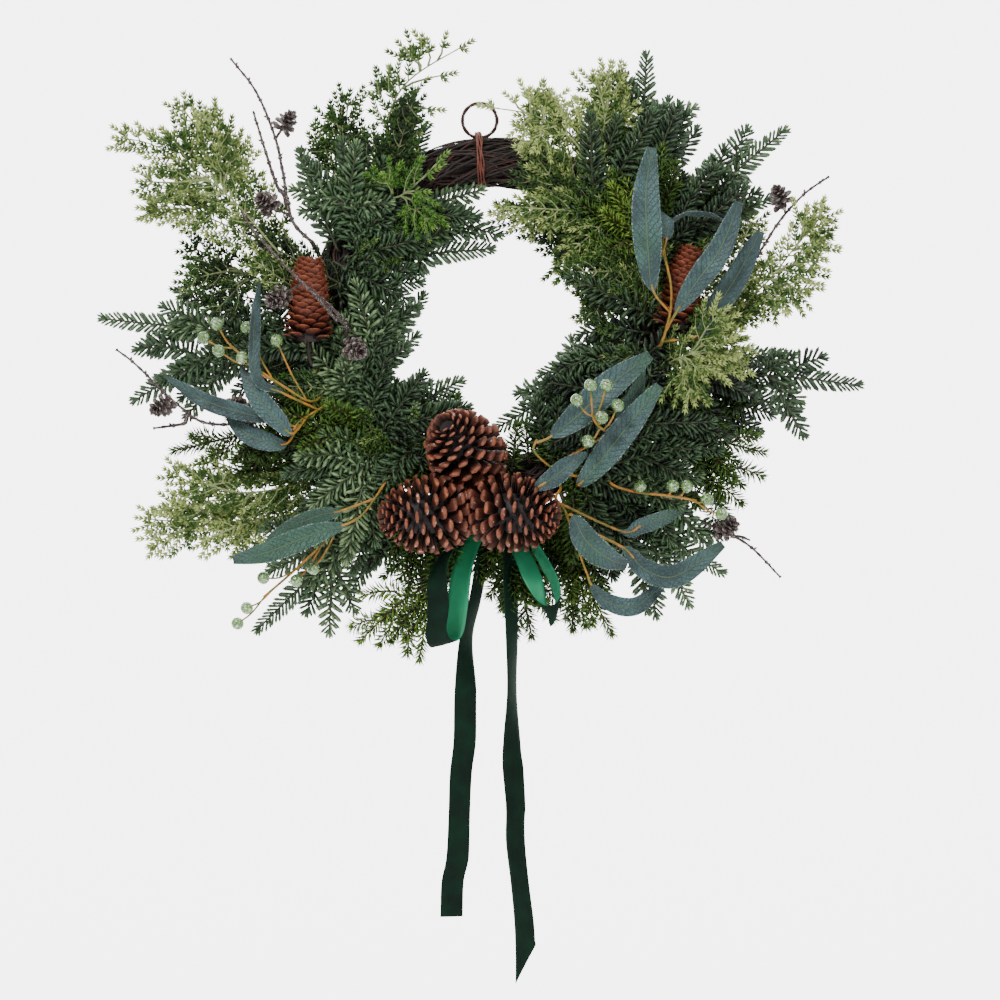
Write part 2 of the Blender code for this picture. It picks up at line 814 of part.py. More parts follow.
def fat_leaf(points, width, roll, flat_from):
    """The space a leaf needs: a little wider and thicker than itself."""
    shape = leaf(points, width + LEAF_SPACE, roll, flat_from)
    made = mesh_of("space", *shape)
    return [v.co + v.normal * STEM_CLEARANCE for v in made.vertices], shape[1]


def leafy_stem(name, clock, around, route, leaves):
    """A stem with leaves. A leaf is its start along the stem, its route, width and roll."""
    walk = stem_walk(ring_route(clock, around, route, LEAF_STEM_RADIUS), LEAF_STEM_STEP)
    taper = [LEAF_STEM_RADIUS * (1 - 0.35 * i / len(walk)) for i in range(len(walk))]
    stem = tube(walk, taper)
    placed[name] = stem
    shapes = [stem]
    for start, via, width, roll in leaves:
        root, _ = point_along(walk, start)
        line = [root] + [at(*point) for point in via]
        stalk = (line[1] - line[0]).length
        total = sum((q - p).length for p, q in zip(line, line[1:]))
        space = fat_leaf(line, width * MM, roll, stalk / total)
        own = tree_of(shapes[1:]) if shapes[1:] else None
        if touches(space, placed_tree((name,))) or (own and touches(space, own)):
            raise ValueError(f"the leaf of {name} to {via[-1]} touches another piece")
        shapes.append(leaf(line, width * MM, roll, stalk / total))
    mesh = fused(name, shapes)
    add(name, "eucalyptus", mesh)
    placed[name] = shape_of(mesh)


leafy_stem(
    "eucalyptus_upper_right", 350, 80,
    [(140, -18, 48), (146, 8, 62), (145, 32, 66), (138, 56, 66)],
    [
        (0.55, [(131, 22, 70), (127, 52, 72), (125, 98, 72), (130, 139, 66)], 23, 0),
        (0.97, [(142, 64, 64), (142, 74, 68), (138, 86, 68)], 12, 30),
        (0.80, [(140, 70, 56), (157, 86, 56), (174, 87, 54), (192, 80, 48)], 11, 70),
        (0.40, [(150, 4, 70), (166, 28, 74), (186, 56, 72), (202, 95, 60)], 19, 0),
        (0.30, [(168, -14, 58), (184, 10, 60), (200, 34, 58), (221, 72, 46)], 19, 10),
    ],
)
leafy_stem(
    "eucalyptus_right", 300, 60,
    [(70, -130, 50), (50, -124, 66), (34, -110, 74), (36, -100, 76)],
    [
        (0.97, [(47, -98, 76), (68, -82, 80), (98, -54, 78), (129, -31, 66)], 23, -8),
        (0.70, [(98, -92, 62), (108, -76, 64), (118, -58, 62), (125, -38, 54)], 12, 20),
        (0.35, [(70, -137, 76), (84, -122, 84), (106, -94, 86), (136, -56, 72)], 21, 0),
        (0.50, [(36, -140, 78), (50, -131, 82), (62, -121, 82), (77, -111, 76)], 15, -10),
    ],
)
leafy_stem(
    "eucalyptus_lower_right", 292, 65,
    [(56, -140, 44), (52, -148, 56), (60, -160, 60), (70, -190, 58), (79, -214, 54)],
    [
        (0.55, [(66, -163, 66), (76, -182, 70), (92, -196, 70), (110, -203, 64)], 21, 10),
        (0.60, [(106, -188, 56), (124, -206, 60), (150, -212, 58), (190, -186, 44)], 18, 0),
        (0.99, [(81, -219, 52), (94, -233, 52), (118, -237, 48), (146, -214, 40)], 14, 0),
        (0.45, [(106, -175, 40), (122, -171, 42), (140, -164, 40), (161, -157, 34)], 13, 20),
    ],
)
leafy_stem(
    "eucalyptus_left", 205, 75,
    [(-140, -72, 40), (-158, -84, 52), (-164, -92, 56)],
    [
        (0.95, [(-178, -84, 58), (-204, -78, 56), (-236, -68, 46), (-272, -47, 32)], 13, -10),
        (0.90, [(-170, -103, 52), (-188, -101, 52), (-204, -94, 48), (-220, -81, 40)], 15, 0),
        (0.75, [(-164, -95, 68), (-176, -84, 70), (-192, -66, 68), (-207, -40, 58)], 16, 0),
        (0.60, [(-172, -62, 64), (-192, -52, 68), (-196, -16, 66), (-192, 30, 52)], 10, 35),
    ],
)
leafy_stem(
    "eucalyptus_lower_left", 236, 75,
    [(-92, -140, 44), (-104, -158, 56), (-112, -166, 60)],
    [
        (0.97, [(-122, -170, 64), (-148, -178, 68), (-184, -192, 62), (-214, -199, 50)], 18, 0),
        (0.70, [(-124, -158, 54), (-142, -162, 56), (-164, -170, 52), (-186, -182, 44)], 14, -20),
    ],
)


# A berry is its stalk swollen out: two rings and a tip at these shares of its radius
BERRY_RINGS = (-0.45, 0.35, 1)
BERRY_WAIST = 0.0048
BERRY_SPACE = 1.15
STALK_RADIUS = 0.0008
BERRY_STEM_RADIUS = 0.0010
BERRY_STEM_STEP = 0.016


def berry_stem(name, clock, around, route, berries):
    """A thin stem whose side stalks each end in a round berry."""
    line = ring_route(clock, around, route, BERRY_STEM_RADIUS)
    walk = stem_walk(line, BERRY_STEM_STEP)
    stem = tube(walk, [BERRY_STEM_RADIUS] * len(walk))
    placed[name] = stem
    shapes = [stem]
    size = Vector((1, 1, 1)) * BERRY_RADIUS
    for start, centre in berries:
        root, _ = point_along(walk, start)
        middle = at(*centre)
        away = (middle - root).normalized()
        line = [root, middle - away * BERRY_RADIUS]
        space = bead(middle, size * BERRY_SPACE)
        fat = tube(line + [middle], [STALK_RADIUS + STEM_CLEARANCE] * 3)
        tree = placed_tree((name,))
        if touches(space, tree) or touches(fat, tree) or touches(space, tree_of(shapes)):
            raise ValueError(f"the berry of {name} at {centre} touches another piece")
        for share in BERRY_RINGS:
            line.append(middle + away * BERRY_RADIUS * share)
        radii = [STALK_RADIUS, STALK_RADIUS, BERRY_WAIST, BERRY_WAIST, 0]
        shapes.append(tube(line, radii, 5))
    mesh = fused(name, shapes)
    add(name, "berry", mesh)
    placed[name] = shape_of(mesh)


berry_stem(
    "berry_stem_left", 203, 60,
    [(-150, -68, 48), (-172, -56, 60), (-196, -40, 62), (-216, -22, 56)],
    [
        (0.97, (-238, -16, 54)), (0.93, (-227, -5, 56)), (0.80, (-225, -27, 60)),
        (0.60, (-205, -33, 68)), (0.65, (-202, -8, 58)), (0.40, (-177, -19, 66)),
    ],
)
berry_stem(
    "berry_stem_right", 322, 75,
    [(110, -94, 48), (100, -96, 72), (86, -90, 92), (80, -80, 98)],
    [
        (0.98, (79, -57, 104)), (0.95, (92, -57, 102)), (0.97, (68, -69, 102)),
        (0.80, (101, -73, 100)), (0.90, (88, -83, 106)), (0.85, (77, -102, 98)),
    ],
)
berry_stem(
    "berry_stem_lower_right", 308, 40,
    [(98, -136, 40), (120, -143, 46), (146, -146, 48), (168, -150, 44)],
    [
        (0.55, (121, -138, 54)), (0.78, (148, -138, 54)), (0.85, (160, -138, 50)),
        (0.95, (177, -149, 46)), (0.99, (189, -161, 42)),
    ],
)
berry_stem(
    "berry_stem_lower_left", 229, 40,
    [(-104, -132, 34), (-128, -172, 38), (-160, -204, 40), (-190, -230, 34)],
    [
        (0.93, (-204, -239, 34)), (0.99, (-212, -252, 30)), (0.80, (-190, -214, 38)),
        (0.62, (-162, -216, 48)), (0.50, (-148, -206, 50)),
    ],
)


# ---------------------------------------------------------------- larch twigs


LARCH_RADIUS = 0.0014
LARCH_STEP = 0.011
LARCH_STUB = 0.0012
LARCH_SAG = 0.005
LARCH_INSIDE = 0.002
LARCH_SPACE = 1.08


def knobbly(walk, radius):
    """Radii of a twig that thins towards its tip and swells at every second bud."""
    count = len(walk)
    return [radius * (1.25 if i % 2 else 0.9) * (1 - 0.4 * i / count) for i in range(count)]


def larch_twig(name, clock, around, route, forks, cones):
    """A knobbly twig with forks, and a small cone on a stub at each of the given places."""
    radius = LARCH_RADIUS
    walk = stem_walk(ring_route(clock, around, route, radius), LARCH_STEP)
    twig = tube(walk, knobbly(walk, radius))
    placed[name] = twig
    shapes = [twig]
    for start, via in forks:
        root, along = point_along(walk, start)
        line = stem_walk(branch_route(name, root, along, via, radius), LARCH_STEP)
        shapes.append(tube(line, knobbly(line, radius * 0.8)))
    for start, centre, way in cones:
        root, _ = point_along(walk, start)
        way = at(*way).normalized()
        middle = at(*centre)
        body = stood(LARCH_CONE, middle - way * (LARCH_LENGTH / 2), way)
        fat = [middle + (corner - middle) * LARCH_SPACE for corner in body[0]], body[1]
        if touches(fat, placed_tree((name,))) or touches(fat, tree_of(shapes)):
            raise ValueError(f"the cone of {name} at {centre} touches another piece")
        line = [root, (root + middle) / 2 - way * LARCH_SAG, middle - way * LARCH_INSIDE]
        shapes += [body, tube(line, [LARCH_STUB] * 3)]
    mesh = fused(name, shapes)
    add(name, "larch", mesh)
    placed[name] = shape_of(mesh)


larch_twig(
    "larch_twig_upper_left", 160, 40,
    [(-148, 62, 36), (-166, 82, 40), (-174, 122, 36), (-181, 152, 30), (-197, 190, 24),
     (-219, 219, 18)],
    [(0.35, [(-180, 113, 28), (-190, 143, 24), (-200, 175, 18)])],
    [(0.62, (-171, 163, 38), (0.5, 0.6, 0.5)), (0.30, (-187, 96, 48), (-0.5, 0.3, 0.8))],
)
larch_twig(
    "larch_twig_over_cone", 186, 112,
    [(-122, -14, 42), (-120, -6, 68), (-134, 10, 80), (-160, 32, 82), (-194, 69, 64),
     (-208, 90, 50)],
    [(0.30, [(-128, -2, 84), (-140, 12, 88), (-155, 28, 86)])],
    [(0.55, (-177, 16, 62), (-0.6, -0.3, 0.7)), (0.16, (-112, -26, 62), (0.5, -0.3, 0.8))],
)
larch_twig(
    "larch_twig_left", 207, 40,
    [(-150, -76, 30), (-190, -84, 34), (-236, -86, 32), (-262, -70, 30), (-297, -37, 24),
     (-314, -24, 20)],
    [(0.62, [(-256, -86, 32), (-282, -90, 30)])],
    [(0.75, (-274, -72, 42), (-0.6, -0.3, 0.7)), (0.45, (-211, -72, 38), (0.4, 0.2, 0.9))],
)
larch_twig(
    "larch_twig_upper_right", 12, 30,
    [(172, 34, 24), (200, 40, 28), (218, 52, 30), (238, 82, 30), (259, 105, 26), (280, 120, 22)],
    [],
    [(0.72, (238, 102, 36), (-0.4, 0.6, 0.7))],
)
larch_twig(
    "larch_twig_lower_right", 306, 15,
    [(114, -146, 14), (150, -156, 18), (192, -176, 22), (214, -188, 22), (240, -214, 18)],
    [(0.70, [(206, -180, 24), (214, -183, 26)])],
    [(0.66, (195, -172, 32), (0.5, 0.4, 0.7))],
)


# ---------------------------------------------------------------- sprays of needles


# A side stem is bare for this share of its length, and a bare stretch keeps every fifth station
SIDE_BARE = 0.12
BARE_THINNED = 5
# An arched stem rises and comes forward by these shares of its length, from just off the ring
ARCH_UP = 0.04
ARCH_OUT = 0.07
ARCH_START = 0.008
# The row of needles along the front of a fir twig
FRONT_LEAN = 34
FRONT_SIZE = 0.72
FRONT_SPREAD = 0.9
# A needle is tried at these leans further forward and sizes, and left out if all cross something
NEEDLE_TRIES = ((0, 1.0), (14, 0.95), (24, 0.8), (10, 0.6))
OWN_NEEDLES = 9


class Twig:
    """A stem whose side faces can be drawn out into needles from a share of its length on."""

    def __init__(self, name, kind, route, bare):
        self.name = name
        self.kind = kind
        rule = FOLIAGE[kind]
        self.walk = stem_walk(route, rule["pitch"])
        count = len(self.walk)
        radii = [rule["core"] * (1 - 0.45 * i / count) for i in range(count)]
        self.first = round(bare * count)
        keep = [i for i in range(count) if i < 2 or i >= self.first or i % BARE_THINNED == 0]
        self.first = sum(1 for i in keep if i < self.first)
        self.walk = [self.walk[i] for i in keep]
        radii = [radii[i] for i in keep]
        self.frames = frames(self.walk)
        self.shape = tube(self.walk, radii, 3, rule["twist"])
        self.plain = self.shape[0], []
        for face in self.shape[1]:
            self.plain[1].extend(halves(face) if len(face) == 4 else [face])


twigs = []


def lay_twig(name, node, kind, route, bare):
    twig = Twig(name, kind, route, bare)
    twig.node = node
    placed[name] = twig.plain
    twigs.append(twig)
    return twig


def arched(start, points):
    """The points, with one more half way to the first, pushed a little forwards and up."""
    first = points[0]
    middle = [(a + b) / 2 for a, b in zip(start, first)]
    length = math.dist(start, first)
    return [(middle[0], middle[1] + ARCH_UP * length, middle[2] + ARCH_OUT * length)] + points


def spray(name, kind, clock, around, tip, sides, bare=0.3):
    """A spray: a main stem from the ring to its tip, and side stems given as (share, tip)."""
    core = FOLIAGE[kind]["core"]
    root = ring_frame(clock)[0] + ring_direction(clock, around) * (BUNDLE_RADIUS + ARCH_START)
    start = (root.x / MM, root.z / MM, -root.y / MM)
    via = tip if isinstance(tip, list) else arched(start, [tip])
    main = lay_twig(name, name, kind, ring_route(clock, around, via, core), bare)
    for number, (share, end) in enumerate(sides):
        root, along = point_along(main.walk, share)
        via = end if isinstance(end, list) else [end]
        if not isinstance(end, list):
            start = (root.x / MM, root.z / MM, -root.y / MM)
            via = arched(start, [end])
        route = branch_route(name, root, along, via, core)
        lay_twig(f"{name}_{number}", name, kind, route, SIDE_BARE)


# Fir: flat dark combs, most of them deep in the wreath
spray(
    "fir_top_left", "fir", 148, 70, (-113, 140, 44),
    [(0.30, (-162, 107, 34)), (0.25, (-88, 96, 40))],
)
spray(
    "fir_inner_upper_left", "fir", 160, 130, (-5, 60, 16),
    [(0.25, (-32, 80, 30)), (0.45, (-66, 40, 34))],
)
spray("fir_inner_top_left", "fir", 128, 150, (-13, 109, 12), [])
spray(
    "fir_left", "fir", 192, 10,
    (-323, 2, 8), [(0.40, (-271, 10, 22)), (0.30, (-238, -8, 30)), (0.2, (-297, -64, 6))],
)
spray(
    "fir_inner_left", "fir", 206, 120, (-60, 18, 22),
    [(0.20, (-112, 26, 46)), (0.35, (-86, -6, 34))],
)
spray("fir_inner_low_left", "fir", 226, 120, (-30, -52, 26), [(0.20, (-66, -74, 40))])
spray("fir_over_left", "fir", 212, 95, (-152, -24, 46), [(0.30, (-118, -34, 54))])
spray(
    "fir_top_right", "fir", 40, 20, (128, 218, 14),
    [(0.35, (166, 178, 4)), (0.50, (148, 172, 22))],
)
spray(
    "fir_upper_right", "fir", 24, 10, (241, 157, 14),
    [(0.35, (192, 140, 22)), (0.55, (208, 120, 4))],
)
spray(
    "fir_inner_right", "fir", 336, 150, (6, -88, 22),
    [(0.45, (24, -60, 12)), (0.30, (66, -18, 12))],
)
spray("fir_inner_mid_right", "fir", 346, 120, (44, -44, 34), [(0.35, (86, -36, 44))])
spray("fir_right", "fir", 342, 5, (302, -53, 12), [(0.45, (258, -92, 10)), (0.40, (247, -32, 26))])
spray(
    "fir_lower_left", "fir", 246, 30, (-194, -255, 16),
    [(0.45, (-137, -257, 8)), (0.25, (-182, -208, 30))],
)
spray("fir_low_left_front", "fir", 232, 70, (-146, -152, 48), [(0.25, (-120, -196, 46))])
spray(
    "fir_lower_right", "fir", 296, 20, (188, -208, 14),
    [(0.40, (163, -234, 4)), (0.30, (128, -238, 22))],
)
spray("fir_low_right_front", "fir", 304, 60, (168, -128, 30), [(0.30, (176, -184, 26))])

# Pine: bright short needles all round the stem
spray(
    "pine_left", "pine", 214, 20, (-263, -108, 22),
    [(0.35, (-200, -130, 26)), (0.30, (-193, -112, 40))],
)
spray("pine_inner_left", "pine", 222, 90, (-168, -92, 42), [(0.35, (-150, -122, 36))])
spray(
    "pine_upper_right", "pine", 20, 90, (100, 108, 44),
    [(0.30, (82, 52, 40)), (0.40, (124, 96, 34))],
)
spray("pine_behind_leaves", "pine", 30, 30, (140, 140, 34), [(0.35, (175, 110, 18))])
spray(
    "pine_right", "pine", 324, 10, (223, -109, 20),
    [(0.40, (199, -130, 30)), (0.30, (178, -92, 34)), (0.25, [(179, -133, 17), (200, -171, 8)])],
)
spray(
    "pine_bottom_left", "pine", 256, 20, (-61, -280, 14),
    [(0.40, (-109, -265, 20)), (0.45, (-84, -266, 6))],
)
spray("pine_bottom_middle", "pine", 276, 0, (8, -238, 2), [(0.35, [(23, -218, 5), (32, -262, -6)])])
spray("pine_bottom_right", "pine", 284, 20, (98, -259, 16), [(0.40, (67, -256, 6))])

# Cedar: scaly plumes, pale outside and darker within
spray(
    "cedar_upper_left", "cedar", 165, 40,
    [(-172, 50, 34), (-219, 102, 44), (-276, 142, 36), (-320, 153, 28)],
    [
        (0.42, [(-240, 150, 44), (-265, 186, 36)]), (0.38, [(-226, 146, 54), (-239, 178, 50)]),
        (0.34, (-210, 152, 40)), (0.46, [(-262, 112, 50), (-298, 114, 44)]),
        (0.30, [(-252, 92, 30), (-300, 94, 24)]), (0.55, (-275, 160, 50)),
    ],
    0.35,
)
spray(
    "cedar_left_dark", "cedar", 178, 10,
    [(-200, 36, 10), (-264, 68, 6)],
    [(0.45, (-262, 32, 14)), (0.40, (-268, 18, 4)), (0.35, (-240, 0, 12))],
)
spray(
    "cedar_dark_upper_left", "cedar", 142, 20,
    [(-128, 128, 14), (-119, 198, 8)],
    [(0.35, (-152, 153, 12)), (0.50, (-136, 182, 16)), (0.55, (-104, 156, -4)), (0.25, (-162, 128, 4))],
)
spray(
    "cedar_top_left", "cedar", 120, 60,
    [(-88, 152, 36), (-72, 196, 34), (-13, 235, 26)],
    [
        (0.60, (-74, 226, 30)), (0.66, (-54, 238, 22)), (0.72, (-36, 241, 34)),
        (0.45, (-27, 204, 42)), (0.40, (-94, 196, 26)), (0.30, (-36, 172, 44)),
    ],
)
spray(
    "juniper_top_left", "cedar", 132, 85,
    [(-72, 104, 48), (-34, 140, 46)],
    [(0.30, (-46, 72, 44)), (0.35, (-52, 104, 52)), (0.22, (-92, 122, 58)), (0.55, (-46, 122, 60))],
)
spray(
    "cedar_top_right", "cedar", 60, 70,
    [(70, 144, 40), (36, 168, 40), (-16, 178, 34)],
    [
        (0.60, (6, 190, 34)), (0.55, (31, 188, 44)), (0.45, (48, 192, 32)), (0.50, (10, 148, 52)),
        (0.40, (30, 134, 50)),
    ],
)
spray(
    "cedar_top_right_tall", "cedar", 50, 30,
    [(92, 152, 26), (101, 220, 18)],
    [(0.50, (82, 212, 24)), (0.62, (114, 208, 12)), (0.35, (76, 188, 16)), (0.45, (117, 170, 30))],
)
spray(
    "cedar_inner_right_dark", "cedar", 36, 150,
    (30, 79, 6), [(0.35, (40, 100, 14)), (0.40, [(62, 49, 12), (50, 29, 4)])],
)
spray(
    "cedar_inner_right", "cedar", 2, 140,
    (74, 38, 14), [(0.40, (72, 14, 8)), (0.35, (74, -6, 22))],
)
spray(
    "cedar_right", "cedar", 4, 35,
    [(190, 4, 34), (224, 28, 38), (252, 62, 34), (282, 96, 26)],
    [
        (0.70, (262, 96, 36)), (0.65, (286, 69, 24)), (0.50, (280, 50, 40)), (0.45, (266, 18, 34)),
        (0.40, (248, 2, 42)),
    ],
)
spray(
    "cedar_right_bright", "cedar", 345, 60,
    [(160, -30, 52), (212, -16, 50)],
    [
        (0.35, (178, -54, 56)), (0.30, (168, -76, 50)), (0.45, (214, -36, 42)),
        (0.40, [(178, -5, 65), (196, 11, 72)]),
    ],
)
spray(
    "cedar_lower_left", "cedar", 224, 15,
    [(-170, -138, 18), (-229, -142, 22), (-278, -122, 16)],
    [(0.55, (-262, -134, 28)), (0.60, [(-222, -140, 14), (-234, -132, 4)]), (0.45, (-215, -158, 20))],
)
spray(
    "cedar_lower_left_edge", "cedar", 230, -5,
    [(-170, -162, 10), (-246, -168, 14), (-303, -164, 8)],
    [
        (0.55, (-280, -152, 16)), (0.62, (-292, -190, 16)), (0.45, (-254, -192, 16)),
        (0.38, (-222, -186, 6)),
    ],
)


def needle_tip(twig, i, j, lean_more, size):
    """The face's four corners and the tip of the needle drawn out of side j of length i."""
    rule = FOLIAGE[twig.kind]
    base = [twig.shape[0][k] for k in twig.shape[1][i * 3 + j]]
    middle = sum(base, Vector()) / 4
    share = (i - twig.first) / max(1, len(twig.walk) - twig.first)
    start, end = rule["lean"]
    lean = math.radians(start + (end - start) * share - lean_more)
    along, side, front = twig.frames[i]
    axis = (twig.walk[i] + twig.walk[i + 1]) / 2
    away = middle - axis
    away = (away - along * away.dot(along)).normalized()
    length = rule["length"] * size * (1 - 0.3 * share**3)
    if twig.kind == "fir":
        if j == 0:
            lean = math.radians(FRONT_LEAN)
            away = (front + side * (FRONT_SPREAD if i % 2 else -FRONT_SPREAD)).normalized()
            length *= FRONT_SIZE
        else:
            away = (side * (1 if away.dot(side) > 0 else -1) + front * 0.12).normalized()
    length *= random.uniform(0.9, 1.05)
    return base, middle + (along * math.cos(lean) + away * math.sin(lean)) * length


CONE_FACES = [(0, 1, 4), (1, 2, 4), (2, 3, 4), (3, 0, 4)]


def draw_needles(twig, tree):
    """The twig's shape with every needle that runs clear of its neighbours."""
    corners, faces = list(twig.shape[0]), []
    grown = []
    own = None
    for number, face in enumerate(twig.shape[1]):
        i, j = divmod(number, 3)
        if len(face) < 4:
            faces.append(face)
            continue
        if i < twig.first:
            faces += halves(face)
            continue
        for lean_more, size in NEEDLE_TRIES:
            base, tip = needle_tip(twig, i, j, lean_more, size)
            middle = sum(base, Vector()) / 4
            reach = tip + (tip - middle).normalized() * NEEDLE_CLEARANCE
            space = base + [reach], CONE_FACES
            upper = [corner.lerp(reach, 0.2) for corner in base] + [reach], CONE_FACES
            if -tip.y > WALL_OUT and not touches(space, tree) and not (own and touches(upper, own)):
                corners.append(tip)
                last = len(corners) - 1
                faces += [(face[k], face[(k + 1) % 4], last) for k in range(4)]
                grown.append(space)
                own = tree_of(grown[-OWN_NEEDLES:])
                break
        else:
            faces += halves(face)
    return (corners, faces), joined(grown)


needles = {}
for twig in twigs:
    others = [shape for name, shape in placed.items() if name != twig.name]
    tree = tree_of(others + list(needles.values()))
    twig.shape, needles[twig.name] = draw_needles(twig, tree)

for node in dict.fromkeys(twig.node for twig in twigs):
    group = [twig for twig in twigs if twig.node == node]
    finish = "juniper" if node.startswith("juniper") else group[0].kind
    add(node, finish, fused(node, [twig.shape for twig in group]))
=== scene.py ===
"""Fresh evergreen wreath on a vine ring, with cones, eucalyptus, berries and a velvet ribbon.

Units are metres, +Z is up and the wreath faces -Y. Routes are given as seen from the front, in
millimetres from the ring's centre: (right, up, out), with out towards the viewer.
"""

import math
import random

import bmesh
import bpy
from mathutils import Matrix, Vector


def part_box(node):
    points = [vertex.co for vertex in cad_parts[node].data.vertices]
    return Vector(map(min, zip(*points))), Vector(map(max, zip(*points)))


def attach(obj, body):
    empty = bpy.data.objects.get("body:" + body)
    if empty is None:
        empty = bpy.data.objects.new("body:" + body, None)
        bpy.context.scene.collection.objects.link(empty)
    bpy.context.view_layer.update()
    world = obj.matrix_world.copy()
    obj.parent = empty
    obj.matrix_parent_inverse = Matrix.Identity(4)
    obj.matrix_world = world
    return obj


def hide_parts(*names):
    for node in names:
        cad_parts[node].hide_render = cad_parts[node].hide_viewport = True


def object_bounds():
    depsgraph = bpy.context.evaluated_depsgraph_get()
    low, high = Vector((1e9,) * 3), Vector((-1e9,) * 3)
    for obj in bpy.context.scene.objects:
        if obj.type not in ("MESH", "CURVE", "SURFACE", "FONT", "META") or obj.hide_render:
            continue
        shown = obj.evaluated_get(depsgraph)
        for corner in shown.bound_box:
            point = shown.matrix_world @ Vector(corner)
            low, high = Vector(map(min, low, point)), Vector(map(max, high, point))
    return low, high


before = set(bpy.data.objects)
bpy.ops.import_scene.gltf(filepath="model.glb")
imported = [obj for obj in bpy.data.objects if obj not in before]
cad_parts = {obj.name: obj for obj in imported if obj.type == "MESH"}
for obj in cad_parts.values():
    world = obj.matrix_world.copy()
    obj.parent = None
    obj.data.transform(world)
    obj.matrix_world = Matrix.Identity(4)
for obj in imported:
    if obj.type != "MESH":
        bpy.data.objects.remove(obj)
CAD_LOW, CAD_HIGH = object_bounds()

# ---------------------------------------------------------------- camera, backdrop and light
# A long lens looks straight at the hung wreath. A pale wall and floor stand well away from it,
# and wide soft lamps light it from the front, as on a studio table.

ring_low, ring_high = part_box("vine_ring")
RING_CENTRE = (ring_low + ring_high) / 2
RING_CENTRE.y = 0.0
VIEW_CENTRE = RING_CENTRE + Vector((0.0059, 0, -0.1495))
CAMERA_DISTANCE = 2.6
VIEW_WIDTH = 0.84
SENSOR = 36.0


def shown(name, data):
    """A new object in the scene."""
    made = bpy.data.objects.new(name, data)
    bpy.context.scene.collection.objects.link(made)
    return made


camera = bpy.data.cameras.new("camera")
camera.sensor_width = SENSOR
camera.lens = SENSOR * CAMERA_DISTANCE / VIEW_WIDTH
camera.clip_end = 50
camera_object = shown("camera", camera)
camera_object.location = VIEW_CENTRE + Vector((0, -CAMERA_DISTANCE, 0))
camera_object.rotation_euler = (math.pi / 2, 0, 0)
bpy.context.scene.camera = camera_object


def stage_sheet(name, size, place, turn, glow):
    """A wide pale sheet that isn't part of the wreath."""
    half = size / 2
    mesh = bpy.data.meshes.new(name)
    mesh.from_pydata([(-half, -half, 0), (half, -half, 0), (half, half, 0), (-half, half, 0)],
                     [], [(0, 1, 2, 3)])
    finish = bpy.data.materials.new(name)
    finish.use_nodes = True
    paint = finish.node_tree.nodes["Principled BSDF"]
    paint.inputs["Base Color"].default_value = (0.94, 0.94, 0.94, 1)
    paint.inputs["Roughness"].default_value = 0.9
    paint.inputs["Emission Color"].default_value = (1, 1, 1, 1)
    paint.inputs["Emission Strength"].default_value = glow
    mesh.materials.append(finish)
    sheet = shown(name, mesh)
    sheet.location = place
    sheet.rotation_euler = turn


stage_sheet("backdrop", 12, (0, 5.5, 1.0), (math.pi / 2, 0, 0), 5.0)
stage_sheet("floor", 7, (0, 0, -1.9), (0, 0, 0), 0.5)


def soft_lamp(name, place, size, power):
    """A square lamp that faces the wreath."""
    lamp = bpy.data.lights.new(name, "AREA")
    lamp.size = size
    lamp.energy = power
    holder = shown(name, lamp)
    holder.location = place
    holder.rotation_euler = (VIEW_CENTRE - Vector(place)).to_track_quat("-Z", "Y").to_euler()


soft_lamp("key", (-1.1, -2.2, 1.7), 0.9, 95)
soft_lamp("fill", (1.8, -2.0, 0.2), 1.6, 30)
soft_lamp("wall", (0, 0.9, 1.8), 2.0, 40)
world = bpy.data.worlds.new("studio")
world.use_nodes = True
air = world.node_tree.nodes["Background"]
air.inputs["Color"].default_value = (1, 1, 1, 1)
air.inputs["Strength"].default_value = 0.30
bpy.context.scene.world = world

# ---------------------------------------------------------------- vine ring
# A round bundle of fine dark twigs, wound round each other by hand and left bare at the top.
# Every twig is drawn along its own slow turn round the bundle, with some loose ends.

MM = 0.001
RING_RADIUS = 0.134
BUNDLE_RADIUS = 0.0205
ROOT_LEVEL = 0.97
TWIGS = 110
TWIG_STEPS = 48
LOOSE_TWIGS = 46
LOOSE_STEPS = 18
LOOSE_RADIUS = 0.0005
CORE_STEPS = 60
UP = Vector((0, 0, 1))
FRONT = Vector((0, -1, 0))

random.seed(25)


def srgb(red, green, blue):
    """A colour as it is seen, 0 to 255, as a linear one."""
    return tuple(((c / 255 + 0.055) / 1.055) ** 2.4 if c > 10 else c / 255 / 12.92
                 for c in (red, green, blue)) + (1,)


def at(right, up, out):
    """A point in millimetres from the ring's centre, seen from the front, in the frame."""
    return RING_CENTRE + Vector((right, -out, up)) * MM


def spots(points):
    return [at(*point) for point in points]


def ring_outwards(clock):
    """Away from the wreath's centre, at an angle from the right-hand side."""
    angle = math.radians(clock)
    return Vector((math.cos(angle), 0, math.sin(angle)))


def ring_spot(clock):
    """The bundle's centre at an angle."""
    return RING_CENTRE + ring_outwards(clock) * RING_RADIUS


def ring_direction(clock, around):
    """Out of the bundle: around 0 is away from the wreath's centre, 90 is towards the viewer."""
    turn = math.radians(around)
    return ring_outwards(clock) * math.cos(turn) + FRONT * math.sin(turn)


def add_node(tree, kind, output=0, inputs=(), **settings):
    """One output of a new node, whose settings are made before its inputs are fed."""
    made = tree.nodes.new(kind)
    for label, value in settings.items():
        setattr(made, label, value)
    for label, value in dict(inputs).items():
        feed(tree, made.inputs[label], value)
    return made.outputs[output]


def feed(tree, socket, value):
    """Link a socket to an output, or set it."""
    value = getattr(value, "socket", value)
    if isinstance(value, bpy.types.NodeSocket):
        tree.links.new(value, socket)
    else:
        socket.default_value = value


